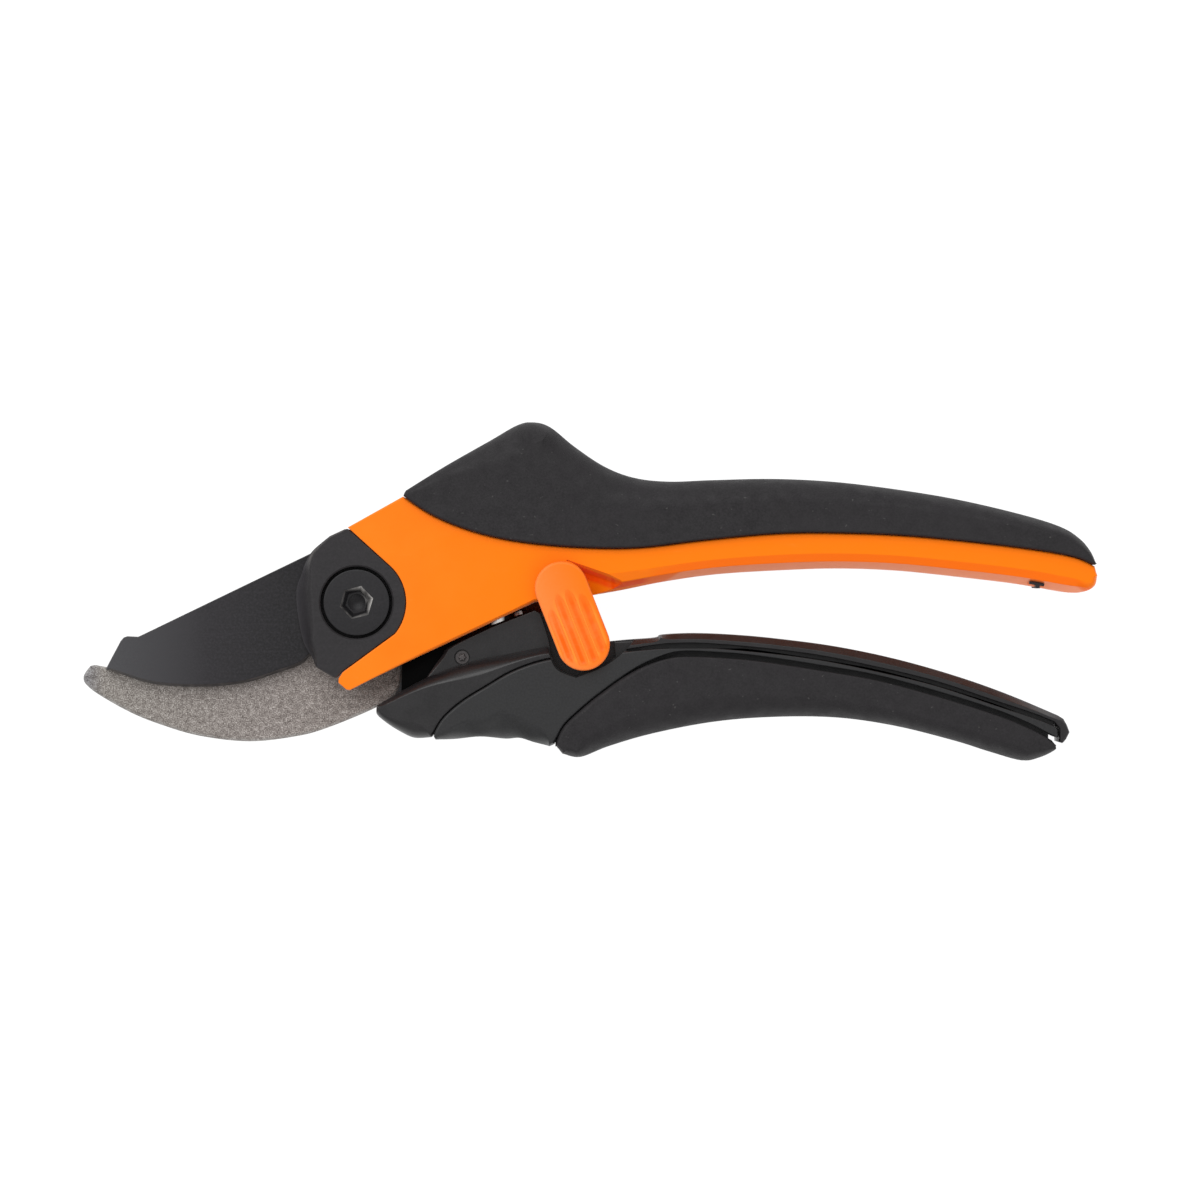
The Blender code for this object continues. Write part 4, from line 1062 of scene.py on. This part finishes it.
def front_rivet():
    """A pressed rivet, whose sunk end shows a small six-pointed boss."""
    x, y = RIVET
    rivet = lathe("core_rivet", [(0, 3.8), (1.35, 3.8), (1.4, 3.7), (1.4, -4.7), (0, -4.75)], 48, RIVET)
    points = [(x + r * math.cos(a), y + r * math.sin(a)) for a, r in
              ((math.radians(i * 7.5), 0.7 + 0.15 * math.cos(math.radians(i * 45))) for i in range(48))]
    boolean(rivet, moulding("boss", rim(points, 0.2, 0.2), 3.0, 4.5), "UNION")
    finish_piece(rivet, DARK_STEEL, "lower_handle", "blade_rivet_front")


# ---------------------------------------- spring and lock

def coil():
    """The return spring, a coil of wire between the two handles."""
    per_turn, sides = 40, 12
    count = SPRING_TURNS * per_turn
    foot, head = SPRING_FOOT, SPRING_ROOM - SPRING_FOOT
    bm = bmesh.new()
    rings = []
    for i in range(count + 1):
        angle = 2 * math.pi * i / per_turn
        up = foot + (head - foot) * i / count
        ring = []
        for k in range(sides):
            turn = 2 * math.pi * k / sides
            radius = SPRING_R + WIRE_R * math.cos(turn)
            x, y = about_spring(radius * math.cos(angle), up + WIRE_R * math.sin(turn))
            ring.append(vertex(bm, x, y, radius * math.sin(angle)))
        rings.append(ring)
    spring = skinned("coil", bm, rings)
    spring.data.transform(Matrix.Translation(PIVOT))
    spring.data.materials.append(BRIGHT)
    for polygon in spring.data.polygons:
        polygon.use_smooth = True
    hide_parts("return_spring")
    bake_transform(spring)


def thumb_catch():
    """The swinging catch, whose face has four flutes along it."""
    tilt = math.degrees(CATCH_TILT)
    start = arc(CATCH_R, tilt + 90, tilt + 270, 36, about_catch(CATCH_HEAD))
    end = arc(CATCH_R, tilt - 90, tilt + 90, 36, about_catch(CATCH_REACH))
    catch = moulding("thumb_catch", rim(start + end, 0.6, 0.55), CATCH_LOW, CATCH_HIGH)
    for across in FLUTES:
        boolean(catch, flute(across))
    top = CATCH_HIGH - 1
    barrel = [(0, BARREL_LOW), (BARREL_R, BARREL_LOW), (BARREL_R, top), (0, top)]
    boolean(catch, lathe("barrel", barrel, 48, (CATCH_X, CATCH_Y)), "UNION")
    stud = [(0, STUD_LOW), (STUD_R - 0.2, STUD_LOW), (STUD_R, STUD_LOW + 0.2), (STUD_R, top), (0, top)]
    boolean(catch, lathe("stud", stud, 48, about_catch(STUD_REACH)), "UNION")
    finish_piece(catch, CATCH_ORANGE, "lock", "lock_catch")


def flute(across):
    """A cutter for one flute: a round bar that sinks slowly into the face and leaves it quickly."""
    count, sides, clear = 40, 32, 0.05
    near = FLUTE_START + FLUTE_BOW * across ** 2
    far = CATCH_REACH + math.sqrt(FLUTE_END_R ** 2 - across ** 2)
    turns = [2 * math.pi * k / sides for k in range(sides)]
    bm = bmesh.new()
    rings = []
    for i in range(count + 1):
        along = near + (far - near) * i / count
        sink = min(1.0, (along - near) / 4.0, (far - along) / 1.1)
        middle = CATCH_HIGH + FLUTE_R + clear - (FLUTE_DEPTH + clear) * sink * (2 - sink)
        rings.append([vertex(bm, *about_catch(along, across + FLUTE_R * math.cos(a)),
                             middle + FLUTE_R * math.sin(a)) for a in turns])
    return skinned("flute", bm, rings)


def carried_over():
    """CAD pieces whose shape is right, which only take a better material."""
    looks = {"pivot_nut": OXIDE, "pivot_bush": BRONZE, "pivot_washer": ACETAL,
             "pivot_spring_washer": BRIGHT, "hook_rivet_1": DARK_STEEL, "hook_rivet_2": DARK_STEEL,
             "lock_pin": DARK_STEEL, "lock_wave_washer": BRIGHT, "spring_seat_upper": SEAT,
             "spring_seat_lower": SEAT, "blade_rivet_rear": DARK_STEEL}
    for node, mat in looks.items():
        mesh = frame["nodes"][node].data
        mesh.materials.clear()
        mesh.materials.append(mat)


# ---------------------------------------- stage

def floor():
    bpy.ops.mesh.primitive_plane_add(size=3.0, location=(0, 0, FLOOR_Z - 0.0002))
    plane = bpy.context.object
    plane.name = "floor"
    n = Nodes("floor_white")
    n.set(Base_Color=(0.12, 0.12, 0.12), Roughness=0.9, Specular_IOR_Level=0.0)
    n.set(Emission_Color=(1.0, 1.0, 1.0), Emission_Strength=0.98)
    plane.data.materials.append(n.mat)


def area_light(name, place, size, power):
    light = bpy.data.lights.new(name, "AREA")
    light.shape = "RECTANGLE"
    light.size, light.size_y = size
    light.energy = power
    obj = placed(name, light)
    obj.location = place
    obj.rotation_euler = (-Vector(place)).to_track_quat("-Z", "Y").to_euler()


def studio():
    world = bpy.data.worlds.new("studio")
    bpy.context.scene.world = world
    world.use_nodes = True
    background = world.node_tree.nodes["Background"]
    background.inputs["Color"].default_value = (1.0, 1.0, 1.0, 1.0)
    background.inputs["Strength"].default_value = 0.66
    area_light("key", (-0.3, 0.55, 0.75), (1.1, 0.8), 7.5)
    area_light("fill", (0.45, -0.6, 0.6), (1.0, 0.6), 1.8)
    bpy.context.scene.view_settings.view_transform = "Standard"


def camera():
    """A long lens straight above, which takes in a square of the given width."""
    lens, sensor, width, centre = 200.0, 36.0, 0.2436, (49.2, 0.5, 0)
    data = bpy.data.cameras.new("camera")
    data.lens = lens
    data.sensor_width = sensor
    data.clip_end = 10.0
    obj = placed("camera", data)
    obj.location = PIVOT + Vector(centre) * MM + Vector((0, 0, width * lens / sensor))
    bpy.context.scene.camera = obj


camera()
floor()
studio()
body_shell()
palm_grip()
slot_shade_filler()
hook()
pivot_cover("front_cover", "pivot_cover_front")
pivot_cover("back_cover", "pivot_cover_back")
bolt()
core_shell()
sleeve_band()
finger_grip()
blade()
front_rivet()
coil()
thumb_catch()
carried_over()
